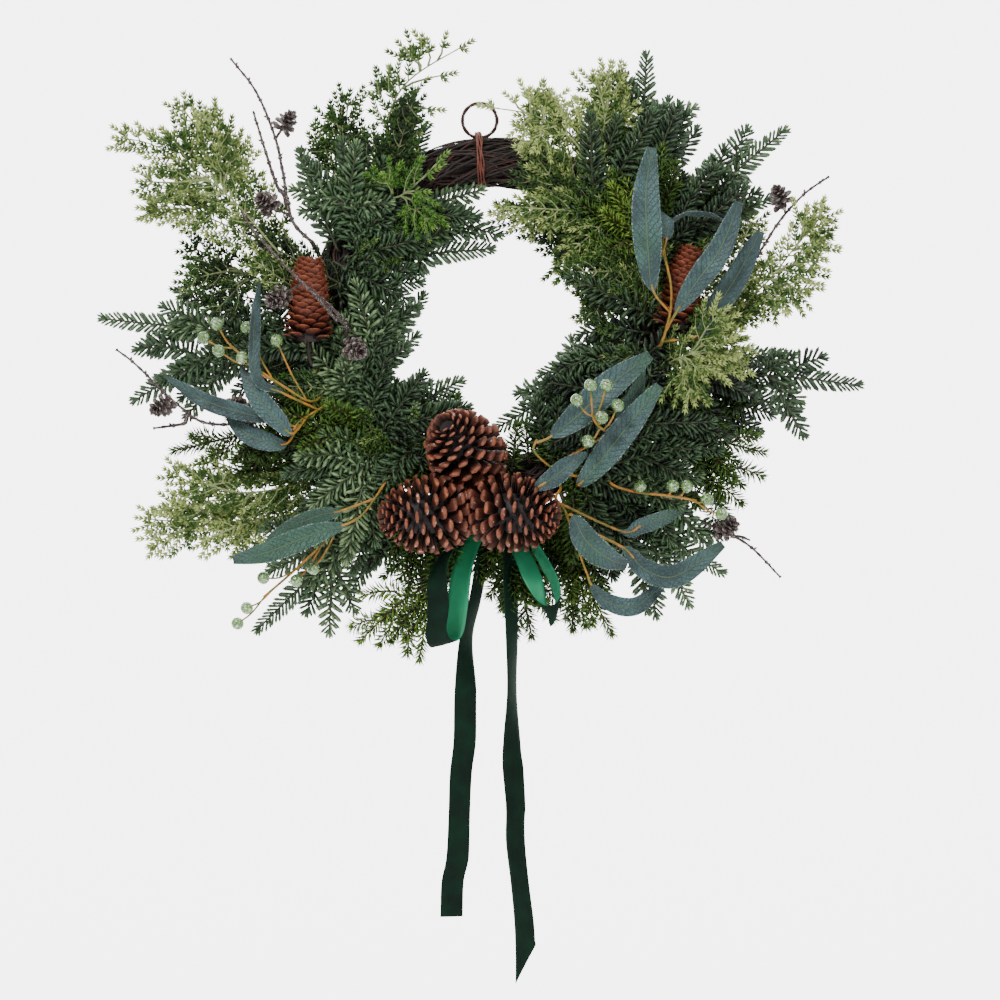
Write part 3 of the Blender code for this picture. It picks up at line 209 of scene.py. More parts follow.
class Value:
    """One output in a material's tree, which plain arithmetic turns into Math nodes."""

    def __init__(self, tree, socket):
        self.tree = tree
        self.socket = socket

    def maths(self, operation, *operands):
        return Value(self.tree, add_node(self.tree, "ShaderNodeMath", 0,
                                         dict(enumerate(operands)), operation=operation))

    def __add__(self, other):
        return self.maths("ADD", self, other)

    def __sub__(self, other):
        return self.maths("SUBTRACT", self, other)

    def __rsub__(self, other):
        return self.maths("SUBTRACT", other, self)

    def __mul__(self, other):
        return self.maths("MULTIPLY", self, other)

    __radd__, __rmul__ = __add__, __mul__

    def size(self):
        return self.maths("ABSOLUTE", self)

    def sine(self):
        return self.maths("SINE", self)

    def between(self, low, high):
        """0 at low and below, 1 at high and above, smooth in between."""
        return Value(self.tree, add_node(
            self.tree, "ShaderNodeMapRange", "Result",
            {"Value": self, "From Min": low, "From Max": high}, interpolation_type="SMOOTHSTEP"))


class Finish:
    """A material with one Principled shader, and a short way to feed it."""

    def __init__(self, name, **constants):
        self.material = bpy.data.materials.new(name)
        self.material.use_nodes = True
        self.tree = self.material.node_tree
        self.shader = self.tree.nodes["Principled BSDF"]
        for label, value in constants.items():
            self.shader.inputs[label.replace("_", " ")].default_value = value

    def node(self, kind, output=0, inputs=(), **settings):
        return Value(self.tree, add_node(self.tree, kind, output, inputs, **settings))

    def attribute(self, name):
        return self.node("ShaderNodeAttribute", "Fac", attribute_name=name)

    def place(self):
        return self.node("ShaderNodeTexCoord", "Object")

    def noise(self, scale, detail):
        return self.node("ShaderNodeTexNoise", 0, {"Vector": self.place(), "Scale": scale,
                                                   "Detail": detail})

    def mix(self, share, first, second):
        return self.node("ShaderNodeMix", 2, {0: share, 6: first, 7: second}, data_type="RGBA")

    def paint(self, colour, roughness):
        feed(self.tree, self.shader.inputs["Base Color"], colour)
        feed(self.tree, self.shader.inputs["Roughness"], roughness)

    def bump(self, height, distance, strength=1.0):
        normal = self.node("ShaderNodeBump", 0, {"Height": height, "Distance": distance,
                                                 "Strength": strength})
        feed(self.tree, self.shader.inputs["Normal"], normal)


def grained(name, scale, detail, dark, light, rough, spread, relief):
    """A finish of fine grain between two colours."""
    finish = Finish(name)
    grain = finish.noise(scale, detail)
    finish.paint(finish.mix(grain, dark, light), rough + grain * spread)
    finish.bump(grain, relief)
    return finish.material


def dressing_tree():
    """The node group that makes stems round their lines and sets a leaf at each leaf point."""
    tree = bpy.data.node_groups.new("dressed stems", "GeometryNodeTree")
    for label, kind in (
        ("Stems", "Geometry"), ("Leaf", "Object"), ("Leaf Length", "Float"),
        ("Leaf Width", "Float"), ("Length Spread", "Float"), ("Stem Sides", "Int"),
        ("Seed", "Int"), ("Leaf Finish", "Material"), ("Stem Finish", "Material"),
    ):
        tree.interface.new_socket(label, in_out="INPUT", socket_type="NodeSocket" + kind)
    tree.interface.new_socket("Dressed", in_out="OUTPUT", socket_type="NodeSocketGeometry")
    given = tree.nodes.new("NodeGroupInput").outputs

    def node(kind, output=0, inputs=(), **settings):
        return add_node(tree, kind, output, inputs, **settings)

    def named(name, kind="FLOAT"):
        return node("GeometryNodeInputNamedAttribute", 0, {"Name": name}, data_type=kind)

    def maths(operation, first, second):
        return node("ShaderNodeMath", 0, {0: first, 1: second}, operation=operation)

    def painted(shape, finish):
        return node("GeometryNodeSetMaterial", 0, {"Geometry": shape, "Material": given[finish]})

    split = node("GeometryNodeSeparateGeometry", "Selection",
                 {"Geometry": given["Stems"], "Selection": named("is_leaf")}, domain="POINT").node
    turn = node("FunctionNodeAxesToRotation", 0,
                {"Primary Axis": named("way", "FLOAT_VECTOR"),
                 "Secondary Axis": named("front", "FLOAT_VECTOR")},
                primary_axis="Z", secondary_axis="Y")
    least = maths("SUBTRACT", 1.0, given["Length Spread"])
    chance = node("FunctionNodeRandomValue", 1,
                  {2: least, 3: 1.0, "Seed": given["Seed"]}, data_type="FLOAT")
    length = maths("MULTIPLY", maths("MULTIPLY", given["Leaf Length"], named("size")), chance)
    width = maths("MULTIPLY", given["Leaf Width"], named("size"))
    scale = node("ShaderNodeCombineXYZ", 0, {"X": width, "Y": width, "Z": length})
    leaf = node("GeometryNodeObjectInfo", "Geometry", {"Object": given["Leaf"]})
    leaves = node("GeometryNodeInstanceOnPoints", 0,
                  {"Points": split.outputs["Selection"], "Instance": leaf, "Rotation": turn,
                   "Scale": scale})
    leaves = node("GeometryNodeRealizeInstances", 0, {"Geometry": leaves})
    leaves = painted(leaves, "Leaf Finish")
    lines = node("GeometryNodeMeshToCurve", 0, {"Mesh": split.outputs["Inverted"]})
    outline = node("GeometryNodeCurvePrimitiveCircle", 0,
                   {"Resolution": given["Stem Sides"], "Radius": 1.0})
    stems = node("GeometryNodeCurveToMesh", 0,
                 {"Curve": lines, "Profile Curve": outline, "Scale": named("girth"),
                  "Fill Caps": True})
    both = tree.nodes.new("GeometryNodeJoinGeometry")
    tree.links.new(painted(stems, "Stem Finish"), both.inputs[0])
    tree.links.new(leaves, both.inputs[0])
    smooth = node("GeometryNodeSetShadeSmooth", 0, {"Geometry": both.outputs[0]})
    whole = node("GeometryNodeRealizeInstances", 0, {"Geometry": smooth})
    tree.links.new(whole, tree.nodes.new("NodeGroupOutput").inputs[0])
    return tree


DRESSING = dressing_tree()
INPUTS = {item.name: item.identifier for item in DRESSING.interface.items_tree
          if item.in_out == "INPUT"}


class Growth:
    """The lines of a piece's stems and the points of its leaves, until the nodes dress them."""

    def __init__(self):
        self.points, self.edges = [], []

    def stem(self, walk, radii, tint=0.5, is_closed=False):
        first = len(self.points)
        for place, radius in zip(walk, radii):
            self.points.append((place, UP, FRONT, radius, 1.0, tint, 0.0))
        self.edges += [(first + i, first + i + 1) for i in range(len(walk) - 1)]
        if is_closed:
            self.edges.append((first + len(walk) - 1, first))

    def leaf(self, place, way, front, size=1.0, tint=0.5):
        self.points.append((place, way, front, 0.0, size, tint, 1.0))

    def dressed(self, name, sides, stem_finish, leaf=None, leaf_finish=None, seed=1, **sizes):
        """The finished piece as a plain mesh."""
        places, ways, fronts, girths, scales, tints, kinds = zip(*self.points)
        mesh = bpy.data.meshes.new(name)
        mesh.from_pydata(places, self.edges, [])
        for label, values in (("girth", girths), ("tint", tints), ("size", scales),
                              ("is_leaf", kinds)):
            mesh.attributes.new(label, "FLOAT", "POINT").data.foreach_set("value", values)
        for label, values in (("way", ways), ("front", fronts)):
            flat = [part for value in values for part in value]
            mesh.attributes.new(label, "FLOAT_VECTOR", "POINT").data.foreach_set("vector", flat)
        raw = shown(name + "_lines", mesh)
        modifier = raw.modifiers.new("dress", "NODES")
        modifier.node_group = DRESSING
        given = {"Leaf": leaf or SPECK, "Leaf Finish": leaf_finish or stem_finish, "Seed": seed,
                 "Stem Sides": sides, "Stem Finish": stem_finish}
        given.update((label.replace("_", " "), value) for label, value in sizes.items())
        for label, value in given.items():
            modifier[INPUTS[label]] = value
        graph = bpy.context.evaluated_depsgraph_get()
        made = bpy.data.meshes.new_from_object(raw.evaluated_get(graph))
        made.name = name
        for label in ("girth", "size", "is_leaf", "way", "front", "sharp_face"):
            if label in made.attributes:
                made.attributes.remove(made.attributes[label])
        bpy.data.objects.remove(raw)
        return shown(name, made)


def finished(piece, node):
    """The piece rides the wreath and stands for its CAD node."""
    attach(piece, "root")
    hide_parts(node)


PATTERNS = []


def blade(name, rings, sides):
    """A leaf along +Z, one long and one wide, from (share, half width, half thickness, forward)."""
    corners, faces, shares, rows = [], [], [], []
    for share, wide, thick, forward in rings:
        first = len(corners)
        for j in range(sides if wide else 1):
            turn = 2 * math.pi * j / sides + (math.pi / 2 if sides == 3 else 0)
            corners.append((math.cos(turn) * wide, math.sin(turn) * thick + forward, share))
            shares.append(share)
        rows.append(range(first, len(corners)))
    for lower, upper in zip(rows, rows[1:]):
        for j in range(sides):
            k = (j + 1) % sides
            if len(lower) == 1:
                faces.append((lower[0], upper[k], upper[j]))
            elif len(upper) == 1:
                faces.append((lower[j], lower[k], upper[0]))
            else:
                faces.append((lower[j], lower[k], upper[k], upper[j]))
    if len(rows[0]) > 1:
        faces.append(tuple(reversed(rows[0])))
    if len(rows[-1]) > 1:
        faces.append(tuple(rows[-1]))
    mesh = bpy.data.meshes.new(name)
    mesh.from_pydata(corners, [], faces)
    mesh.attributes.new("share", "FLOAT", "POINT").data.foreach_set("value", shares)
    PATTERNS.append(shown(name, mesh))
    return PATTERNS[-1]


SPECK = blade("speck", [(0, 0.5, 0.5, 0), (1, 0, 0, 0)], 3)


def vine_finish():
    finish = Finish("vine bark")
    tint = finish.attribute("tint")
    grain = finish.noise(900, 4)
    dark = finish.mix(grain, srgb(16, 11, 10), srgb(48, 35, 30))
    warm = finish.mix(grain, srgb(48, 24, 18), srgb(86, 48, 36))
    finish.paint(finish.mix(tint.between(0.72, 0.95), dark, warm), 0.62 + grain * 0.25)
    finish.bump(grain, 0.0004)
    return finish.material


def vine_ring():
    growth = Growth()
    for k in range(TWIGS):
        start = random.uniform(0, 360)
        turns = random.choice((-3, -2, -1, 1, 2, 3, 4))
        depth = random.uniform(0.70, 0.985) if k % 3 else random.uniform(0.9, 0.985)
        wave, phase = random.randint(5, 11), random.uniform(0, 7)
        walk = []
        for i in range(TWIG_STEPS):
            clock = 360 * i / TWIG_STEPS
            ripple = math.sin(math.radians(wave * clock) + phase)
            around = start + turns * clock + 9 * ripple
            level = BUNDLE_RADIUS * (depth + 0.025 * math.sin(math.radians(3 * clock) + phase))
            walk.append(ring_spot(clock) + ring_direction(clock, around) * level)
        radius = random.uniform(0.0005, 0.0011)
        growth.stem(walk, [radius] * TWIG_STEPS, random.random(), True)
    for k in range(LOOSE_TWIGS):
        start, around = random.uniform(40, 140), random.uniform(0, 360)
        span, drift = random.uniform(20, 60), random.uniform(-150, 150)
        bow = random.uniform(0.0, 0.0016)
        walk = []
        for i in range(LOOSE_STEPS):
            share = i / (LOOSE_STEPS - 1)
            clock = start + span * share
            level = BUNDLE_RADIUS * 0.96 + bow * math.sin(math.pi * share)
            way = ring_direction(clock, around + drift * share)
            walk.append(ring_spot(clock) + way * level)
        growth.stem(walk, [LOOSE_RADIUS] * LOOSE_STEPS, random.uniform(0.4, 1.0))
    core = [ring_spot(360 * i / CORE_STEPS) for i in range(CORE_STEPS)]
    growth.stem(core, [BUNDLE_RADIUS * 0.82] * CORE_STEPS, 0.1, True)
    finished(growth.dressed("vine_ring_twigs", 4, vine_finish()), "vine_ring")


vine_ring()

# ---------------------------------------------------------------- hanging loop and its tie
# Two turns of wire wrapped with dark paper thread stand on the ring's crest. Reddish strands
# go round the ring and over the loop's foot, and hold it there.

LOOP_RADIUS = 0.0145
LOOP_WIRE = 0.0017
LOOP_RIGHT = -0.0105
WIRE_STEPS = 120
THREAD_STEPS = 1150
TIE_WIDTH = 0.005
TIE_GAP = 0.0010
TIE_STRANDS = 5
TIE_STEPS = 64


def wound(centre, steps, windings, start, level):
    """A closed line that winds about the loop's wire, at a share of the wire's radius."""
    walk = []
    for i in range(steps):
        turn = 2 * math.pi * i / steps
        twist = windings * turn + start
        outwards = Vector((math.cos(turn), 0, math.sin(turn)))
        offset = outwards * math.cos(twist) + Vector((0, 1, 0)) * math.sin(twist)
        walk.append(centre + outwards * LOOP_RADIUS + offset * LOOP_WIRE * level)
    return walk


def hanging_loop():
    low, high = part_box("hanging_loop")
    centre = (low + high) / 2
    growth = Growth()
    for k in range(2):
        wire = wound(centre, WIRE_STEPS, 5, math.pi * k, 0.42)
        growth.stem(wire, [LOOP_WIRE * 0.55] * WIRE_STEPS, 0.4, True)
    thread = wound(centre, THREAD_STEPS, 88, 0, 0.87)
    growth.stem(thread, [LOOP_WIRE * 0.17] * THREAD_STEPS, 0.6, True)
    finish = grained("wrapped wire", 700, 3, srgb(38, 24, 20), srgb(92, 58, 46), 0.45, 0.3, 0.0003)
    finished(growth.dressed("hanging_loop_wire", 5, finish), "hanging_loop")


def loop_tie():
    growth = Growth()
    clock = math.degrees(math.acos(LOOP_RIGHT / RING_RADIUS))
    centre = ring_spot(clock)
    across = Vector((0, 1, 0)).cross(ring_outwards(clock))
    for k in range(TIE_STRANDS):
        walk = []
        aside = TIE_WIDTH * (k / (TIE_STRANDS - 1) - 0.5) * 0.9
        for i in range(TIE_STEPS):
            around = 360 * i / TIE_STEPS
            rise = (2 * LOOP_WIRE + TIE_GAP) * max(0.0, math.cos(math.radians(around))) ** 6
            wander = 0.0006 * math.sin(math.radians(around * (k + 2)) + k)
            away = ring_direction(clock, around) * (BUNDLE_RADIUS + TIE_GAP + rise)
            walk.append(centre + away + across * (aside + wander))
        growth.stem(walk, [0.00062] * TIE_STEPS, random.random(), True)
    finish = grained("reddish strands", 500, 4, srgb(70, 30, 22), srgb(136, 74, 56), 0.5, 0.3,
                     0.0003)
    finished(growth.dressed("loop_tie_strands", 6, finish), "loop_tie")


hanging_loop()
loop_tie()

# ---------------------------------------------------------------- ribbon
# One length of narrow velvet, dark on its face and bright satin on its back. It goes round the
# ring, is tied in a knot behind the cones, and falls in two loops and two tails.

RIBBON_WIDTH = 0.019
RIBBON_THICK = 0.0006
RIBBON_STEP = 0.0022
RIBBON_COLUMNS = 6
CUT_ROWS = 17
BAND_STEPS = 48
BAND_GAP = 0.0013
PINCH = 0.35
SLANT = 0.034
VELVET, SATIN, SELVEDGE = 0, 1, 2
EDGE = 2
LEFT_LOOP = (
    ((-2, -160, 18), (-0.5, 0.2, -0.8)),
    ((-16, -176, 36), (-0.4, 0.1, -0.9)),
    ((-33, -192, 49), (-0.5, -0.1, -0.85)),
    ((-38, -211, 54), (-0.8, -0.1, -0.6)),
    ((-36, -236, 55), (-0.95, -0.15, -0.3)),
    ((-38, -256, 52), (-0.95, -0.3, -0.2)),
    ((-33, -266, 44), (-0.95, -0.3, -0.2)),
    ((-25, -261, 35), (-0.95, -0.1, -0.3)),
    ((-21, -240, 31), (-0.93, 0.0, -0.35)),
    ((-17, -206, 30), (-0.85, 0.0, -0.5)),
    ((-7, -178, 25), (-0.7, 0.2, -0.7)),
    ((2, -159, 15), (-0.6, 0.3, -0.7)),
)
RIGHT_LOOP = (
    ((2, -161, 17), (0.6, 0.2, -0.7)),
    ((8, -176, 20), (0.6, 0.1, -0.8)),
    ((18, -198, 36), (0.85, 0.0, -0.5)),
    ((25, -215, 49), (0.85, -0.1, -0.5)),
    ((36, -232, 50), (0.5, -0.7, -0.5)),
    ((46, -237, 48), (0.1, -0.95, -0.3)),
    ((55, -231, 46), (-0.15, -0.8, -0.6)),
    ((55, -218, 44), (-0.4, -0.2, -0.9)),
    ((48, -202, 41), (-0.5, 0.0, -0.85)),
    ((30, -176, 32), (-0.4, 0.1, -0.9)),
    ((3, -158, 17), (-0.4, 0.3, -0.8)),
)
LEFT_TAIL = (
    ((-3, -161, 14), (0.5, 0.0, -0.8)),
    ((-12, -190, 17), (0.55, 0.0, -0.8)),
    ((-20, -234, 17), (0.5, 0.0, -0.85)),
    ((-28, -267, 17), (0.55, 0.0, -0.8)),
    ((-32, -309, 14), (0.95, 0.0, -0.3)),
    ((-33, -350, 13), (0.98, 0.0, -0.1)),
    ((-36, -379, 15), (0.95, 0.1, 0.2)),
    ((-37, -412, 17), (0.9, 0.1, 0.3)),
    ((-39, -448, 16), (0.95, -0.1, -0.1)),
    ((-43, -469, 14), (0.95, 0.0, -0.2)),
    ((-44, -498, 13), (0.95, 0.0, -0.2)),
)
RIGHT_TAIL = (
    ((1, -162, 15), (0.6, 0.0, -0.7)),
    ((8, -188, 21), (0.8, 0.0, -0.6)),
    ((9, -220, 21), (0.65, 0.0, -0.75)),
    ((11, -267, 20), (0.5, 0.0, -0.85)),
    ((12, -309, 18), (0.4, 0.0, -0.9)),
    ((9, -347, 15), (0.7, 0.0, -0.7)),
    ((8, -372, 13), (0.9, 0.0, -0.4)),
    ((11, -407, 13), (0.8, 0.0, 0.5)),
    ((11, -435, 15), (0.8, 0.1, 0.55)),
    ((15, -469, 17), (0.75, 0.1, 0.6)),
    ((18, -502, 17), (0.8, 0.0, 0.5)),
    ((19, -530, 14), (0.7, 0.0, 0.4)),
    ((19, -554, 12), (0.7, 0.0, 0.4)),
)
KNOT = (0, -160, 13)
CURVE_PARTS = 16


def smooth_route(points, step):
    """Evenly spaced points along a smooth curve through the given ones."""
    ends = [2 * points[0] - points[1]] + points + [2 * points[-1] - points[-2]]
    fine = [points[0]]
    for a, b, c, d in zip(ends, ends[1:], ends[2:], ends[3:]):
        for i in range(1, CURVE_PARTS + 1):
            t = i / CURVE_PARTS
            line = (c - a) * t
            square = (2 * a - 5 * b + 4 * c - d) * t**2
            cube = (3 * b - a - 3 * c + d) * t**3
            fine.append((2 * b + line + square + cube) / 2)
    reach = [0.0]
    for p, q in zip(fine, fine[1:]):
        reach.append(reach[-1] + (q - p).length)
    count = max(2, round(reach[-1] / step))
    walk = []
    k = 0
    for i in range(count):
        wanted = reach[-1] * i / count
        while reach[k + 1] < wanted:
            k += 1
        walk.append(fine[k].lerp(fine[k + 1], (wanted - reach[k]) / (reach[k + 1] - reach[k])))
    return walk + [fine[-1]]


def shell(row_count, columns):
    """The faces of a thin sheet with two layers: the layer, or EDGE, and (row, place) corners."""
    count = columns + 1
    for i in range(row_count - 1):
        for layer in (0, 1):
            for j in range(layer * count, layer * count + columns):
                yield layer, ((i, j), (i, j + 1), (i + 1, j + 1), (i + 1, j))
        for j in (0, columns):
            yield EDGE, ((i, j), (i + 1, j), (i + 1, count + j), (i, count + j))
    for i in (0, row_count - 1):
        for j in range(columns):
            yield EDGE, ((i, j), (i, j + 1), (i, count + j + 1), (i, count + j))


def strip(mesh, route, is_loop, velvet_side, cut=0.0):
    """A length of ribbon added to a bmesh: velvet on one side, satin on the other."""
    edge = [at(*point) for point, _ in route]
    ways = [Vector((r, -o, u)).normalized() * RIBBON_WIDTH for _, (r, u, o) in route]
    ways[0] *= PINCH
    if is_loop:
        ways[-1] *= PINCH
    walk = smooth_route(edge, RIBBON_STEP)
    across = smooth_route([p + w for p, w in zip(edge, ways)], RIBBON_STEP)
    rows = []
    for i, near in enumerate(walk):
        place = i / (len(walk) - 1) * (len(across) - 1)
        k = min(int(place), len(across) - 2)
        far = across[k].lerp(across[k + 1], place - k)
        along = walk[min(i + 1, len(walk) - 1)] - walk[max(i - 1, 0)]
        way = (far - near).normalized()
        width = min(RIBBON_WIDTH, (far - near).length)
        half = along.cross(way).normalized() * (RIBBON_THICK / 2)
        back = -along.normalized() * cut * max(0.0, (i - len(walk) + CUT_ROWS + 1) / CUT_ROWS)
        row = []
        for side in (-1, 1):
            for j in range(RIBBON_COLUMNS + 1):
                share = j / RIBBON_COLUMNS
                camber = half * 2.2 * math.sin(math.pi * share) * velvet_side
                spot = near + way * width * share + camber + half * side + back * share
                row.append(mesh.verts.new(spot))
        rows.append(row)
    for layer, corners in shell(len(rows), RIBBON_COLUMNS):
        face = mesh.faces.new([rows[i][j] for i, j in corners])
        face.smooth = layer != EDGE
        is_face = (layer == 1) == (velvet_side > 0)
        face.material_index = SELVEDGE if layer == EDGE else VELVET if is_face else SATIN
    return sum((q - p).length for p, q in zip(walk, walk[1:]))


def velvet_finish(name, dark, light):
    finish = Finish(name, Sheen_Weight=0.16, Sheen_Roughness=0.35,
                    Sheen_Tint=srgb(60, 150, 105), Specular_IOR_Level=0.2)
    pile = finish.noise(2600, 3)
    crush = finish.noise(55, 3)
    shade = (crush * 0.8 + pile * 0.35).between(0.35, 0.95)
    finish.paint(finish.mix(shade, dark, light), 0.7 + pile * 0.25)
    finish.bump(pile, 0.00025, 0.6)
    return finish.material


def satin_finish():
    finish = Finish("satin", Sheen_Weight=0.05, Specular_IOR_Level=0.35)
    weave = finish.node("ShaderNodeTexWave", "Fac", {"Vector": finish.place(), "Scale": 1400,
                                                    "Distortion": 1.5})
    soft = finish.noise(40, 2)
    finish.paint(finish.mix(soft, srgb(24, 118, 80), srgb(58, 168, 122)), 0.36 + weave * 0.12)
    finish.bump(weave, 0.00006, 0.5)
    return finish.material


def ribbon():
    mesh = bmesh.new()
    length = strip(mesh, LEFT_LOOP, True, -1)
    length += strip(mesh, RIGHT_LOOP, True, -1)
    length += strip(mesh, LEFT_TAIL, False, 1)
    length += strip(mesh, RIGHT_TAIL, False, 1, SLANT)
    centre = ring_spot(270)
    across = Vector((0, 1, 0)).cross(ring_outwards(270))
    near = BUNDLE_RADIUS + BAND_GAP
    far = near + RIBBON_THICK
    rings = []
    for i in range(BAND_STEPS):
        away = ring_direction(270, 360 * i / BAND_STEPS)
        rings.append([mesh.verts.new(centre + away * level + across * (hand * RIBBON_WIDTH / 2))
                      for hand, level in ((-1, near), (1, near), (1, far), (-1, far))])
    for low, high in zip(rings, rings[1:] + rings[:1]):
        for j, kind in enumerate((SATIN, SELVEDGE, VELVET, SELVEDGE)):
            face = mesh.faces.new((low[j], low[(j + 1) % 4], high[(j + 1) % 4], high[j]))
            face.material_index = kind
    length += 2 * math.pi * BUNDLE_RADIUS
    place = Matrix.Translation(at(*KNOT)) @ Matrix.Diagonal((0.011, 0.009, 0.010, 1))
    knot = bmesh.ops.create_uvsphere(mesh, u_segments=24, v_segments=14, radius=1, matrix=place)
    for corner in knot["verts"]:
        away = corner.co - at(*KNOT)
        corner.co += away * 0.10 * math.sin(9 * math.atan2(away.z, away.x))
        for face in corner.link_faces:
            face.smooth = True
    bmesh.ops.recalc_face_normals(mesh, faces=mesh.faces)
    data = bpy.data.meshes.new("ribbon_cloth")
    mesh.to_mesh(data)
    mesh.free()
    data.materials.append(velvet_finish("velvet", srgb(0, 20, 11), srgb(4, 42, 25)))
    data.materials.append(satin_finish())
    data.materials.append(velvet_finish("selvedge", srgb(6, 50, 30), srgb(20, 84, 52)))
    piece = shown("ribbon_cloth", data)
    finished(piece, "ribbon")


ribbon()

# ---------------------------------------------------------------- pine cones
# Three open pine cones over the knot, each wired to the ring by a short stub. Their woody
# scales are set in spirals, thick at the rim, paler at the tips, and near-black at their roots,
# which is painted shade in the gaps between them.

GOLDEN = math.radians(137.508)
PINE_SCALE = blade("pine_scale", [
    (0.0, 0.20, 0.07, 0.0), (0.35, 0.36, 0.08, 0.02), (0.70, 0.46, 0.10, 0.05),
    (0.88, 0.49, 0.14, 0.06), (0.97, 0.46, 0.16, 0.03), (1.0, 0.37, 0.12, 0.0),
    (1.01, 0.14, 0.05, 0.0),
], 10)
STUB_RADIUS = 0.0018
CORE_ROWS = 15


def scale_finish(name, inner, middle, tip, flecks=0.0, rough=0.6):
    """Woody scales: near-black at their roots, which is painted shade in the gaps between them,
    paler at the rim, some with flecks of resin.
    """
    finish = Finish(name)
    share = finish.attribute("share")
    tint = finish.attribute("tint")
    grain = finish.noise(420, 5)
    blotch = finish.noise(120, 3)
    # Near-black at the scale roots: painted shade in the gaps between the scales. The same dark
    # colour also deepens the grain and, at random, some whole scales.
    colour = finish.mix(share.between(0.35, 0.92), inner, middle)
    colour = finish.mix((share * 0.80 + blotch * 0.30).between(0.86, 1.06), colour, tip)
    colour = finish.mix(grain.between(0.45, 0.75) * 0.65, colour, inner)
    colour = finish.mix(tint * 0.5, colour, finish.mix(0.5, colour, inner))
    if flecks:
        resin = finish.noise(210, 2).between(0.66, 0.70) * share.between(0.75, 0.9) * flecks
        colour = finish.mix(resin, colour, srgb(232, 205, 190))
    finish.paint(colour, rough - 0.12 + grain * 0.25)
    finish.bump(grain + blotch * 0.6, 0.0007)
    return finish.material


def facing(right, up, out):
    """A direction seen from the front, in the frame."""
    return Vector((right, -out, up)).normalized()


def leaning(out, way, lean):
    """Which way a scale points, and its face, when it leans from out towards the cone's way."""
    return (out * math.cos(lean) + way * math.sin(lean),
            way * math.cos(lean) - out * math.sin(lean))


def hung_cone(name, kind, base, way, roll, clock, around, via):
    """A cone on a stub from the ring, with its scales in one spiral from base to tip."""
    base = at(*base)
    way = facing(*way)
    side = way.orthogonal().normalized()
    growth = Growth()
    off_ring = ring_direction(clock, around)
    root = ring_spot(clock) + off_ring * BUNDLE_RADIUS * ROOT_LEVEL
    points = [root, root + off_ring * 0.005] + spots(via)
    walk = smooth_route(points + [base - way * 0.006, base + way * 0.010], 0.003)
    growth.stem(walk, [STUB_RADIUS] * len(walk), 0.3)
    count, length = kind["count"], kind["length"]
    last = CORE_ROWS - 1
    core = [base + way * length * i / last for i in range(CORE_ROWS)]
    growth.stem(core, [kind["core"](i / last) for i in range(CORE_ROWS)], 0.1)
    for k in range(count):
        share = (k + 0.5) / count
        out = Matrix.Rotation(GOLDEN * k + math.radians(roll), 3, way) @ side
        lean = kind["lean"](share) + random.uniform(-0.06, 0.06)
        root = base + way * length * kind["rise"](share) + out * kind["core"](share) * 0.8
        reach = kind["reach"](share) * random.uniform(0.95, 1.04)
        growth.leaf(root, *leaning(out, way, lean), reach, random.random())
    piece = growth.dressed(name + "_scales", 10, kind["finish"], kind["scale"], seed=3,
                           Leaf_Length=1.0, Leaf_Width=kind["width"], Length_Spread=0.03)
    finished(piece, name)


# Along a cone, 0 is its base and 1 its tip: core is its thickness, rise the height of a scale's
# root, reach the scale's length and lean its slope.
PINE_CONE = {
    "count": 136, "length": 0.058, "width": 0.56, "scale": PINE_SCALE, "slot": "pine_cone",
    "finish": scale_finish("pine cone wood", srgb(22, 8, 5), srgb(92, 40, 22),
                           srgb(184, 104, 68), 0.5),
    "core": lambda s: 0.0170 * math.sin(math.pi * (0.22 + 0.66 * s)),
    "rise": lambda s: 0.01 + 0.96 * s,
    "reach": lambda s: 0.0200 * math.sin(math.pi * (0.30 + 0.58 * s)) ** 0.8,
    "lean": lambda s: math.radians(-56 + 124 * s),
}
hung_cone("pine_cone_top", PINE_CONE, (-12, -123, 32), (-0.45, 0.58, 0.68), 0, 262, 100, [])
hung_cone("pine_cone_left", PINE_CONE, (-31, -160, 53), (-0.88, -0.05, 0.28), 10, 253, 80,
          [(-29, -139, 32), (-24, -150, 44)])
hung_cone("pine_cone_right", PINE_CONE, (-7, -158, 55), (0.88, -0.08, 0.28), 30, 280, 85,
          [(14, -141, 31), (-4, -142, 36), (-14, -152, 46)])

# ---------------------------------------------------------------- spruce cones
# Two long closed cones, stood on stubs among the leaves. Their thin scales overlap like tiles
# towards the tip and are orange-brown.

SPRUCE_SCALE = blade("spruce_scale", [
    (0.0, 0.28, 0.06, 0.0), (0.45, 0.47, 0.07, 0.03), (0.75, 0.50, 0.06, 0.04),
    (0.92, 0.36, 0.05, 0.0), (1.0, 0.16, 0.04, -0.05),
], 8)
SPRUCE_CONE = {
    "count": 150, "length": 0.066, "width": 0.96, "scale": SPRUCE_SCALE, "slot": "spruce_cone",
    "finish": scale_finish("spruce cone scales", srgb(30, 10, 5), srgb(124, 56, 28),
                           srgb(186, 100, 58), 0.0, 0.55),
    "core": lambda s: 0.0035 + 0.0105 * math.sin(math.pi * (0.18 + 0.72 * s)) ** 0.7,
    "rise": lambda s: 0.02 + 0.93 * s,
    "reach": lambda s: 0.0135 * (1 - 0.35 * s ** 3),
    "lean": lambda s: math.radians(72 - 60 * (1 - s) ** 6),
}
hung_cone("spruce_cone_left", SPRUCE_CONE, (-152, -19, 50), (0.02, 1, 0.06), 0, 196, 70,
          [(-139, -41, 36), (-149, -38, 46)])
hung_cone("spruce_cone_right", SPRUCE_CONE, (152, -8, 38), (0.17, 1, 0.06), 20, 352, 45,
          [(148, -30, 27), (152, -26, 33)])

# ---------------------------------------------------------------- eucalyptus
# Stems with long folded leaves, made of printed cloth: blue-green with raised net veins, and a
# paler back that is not drawn. The ochre stalks are wired to the ring.

LEAF_ROWS = 30
LEAF_COLUMNS = 8
LEAF_THICK = 0.0007


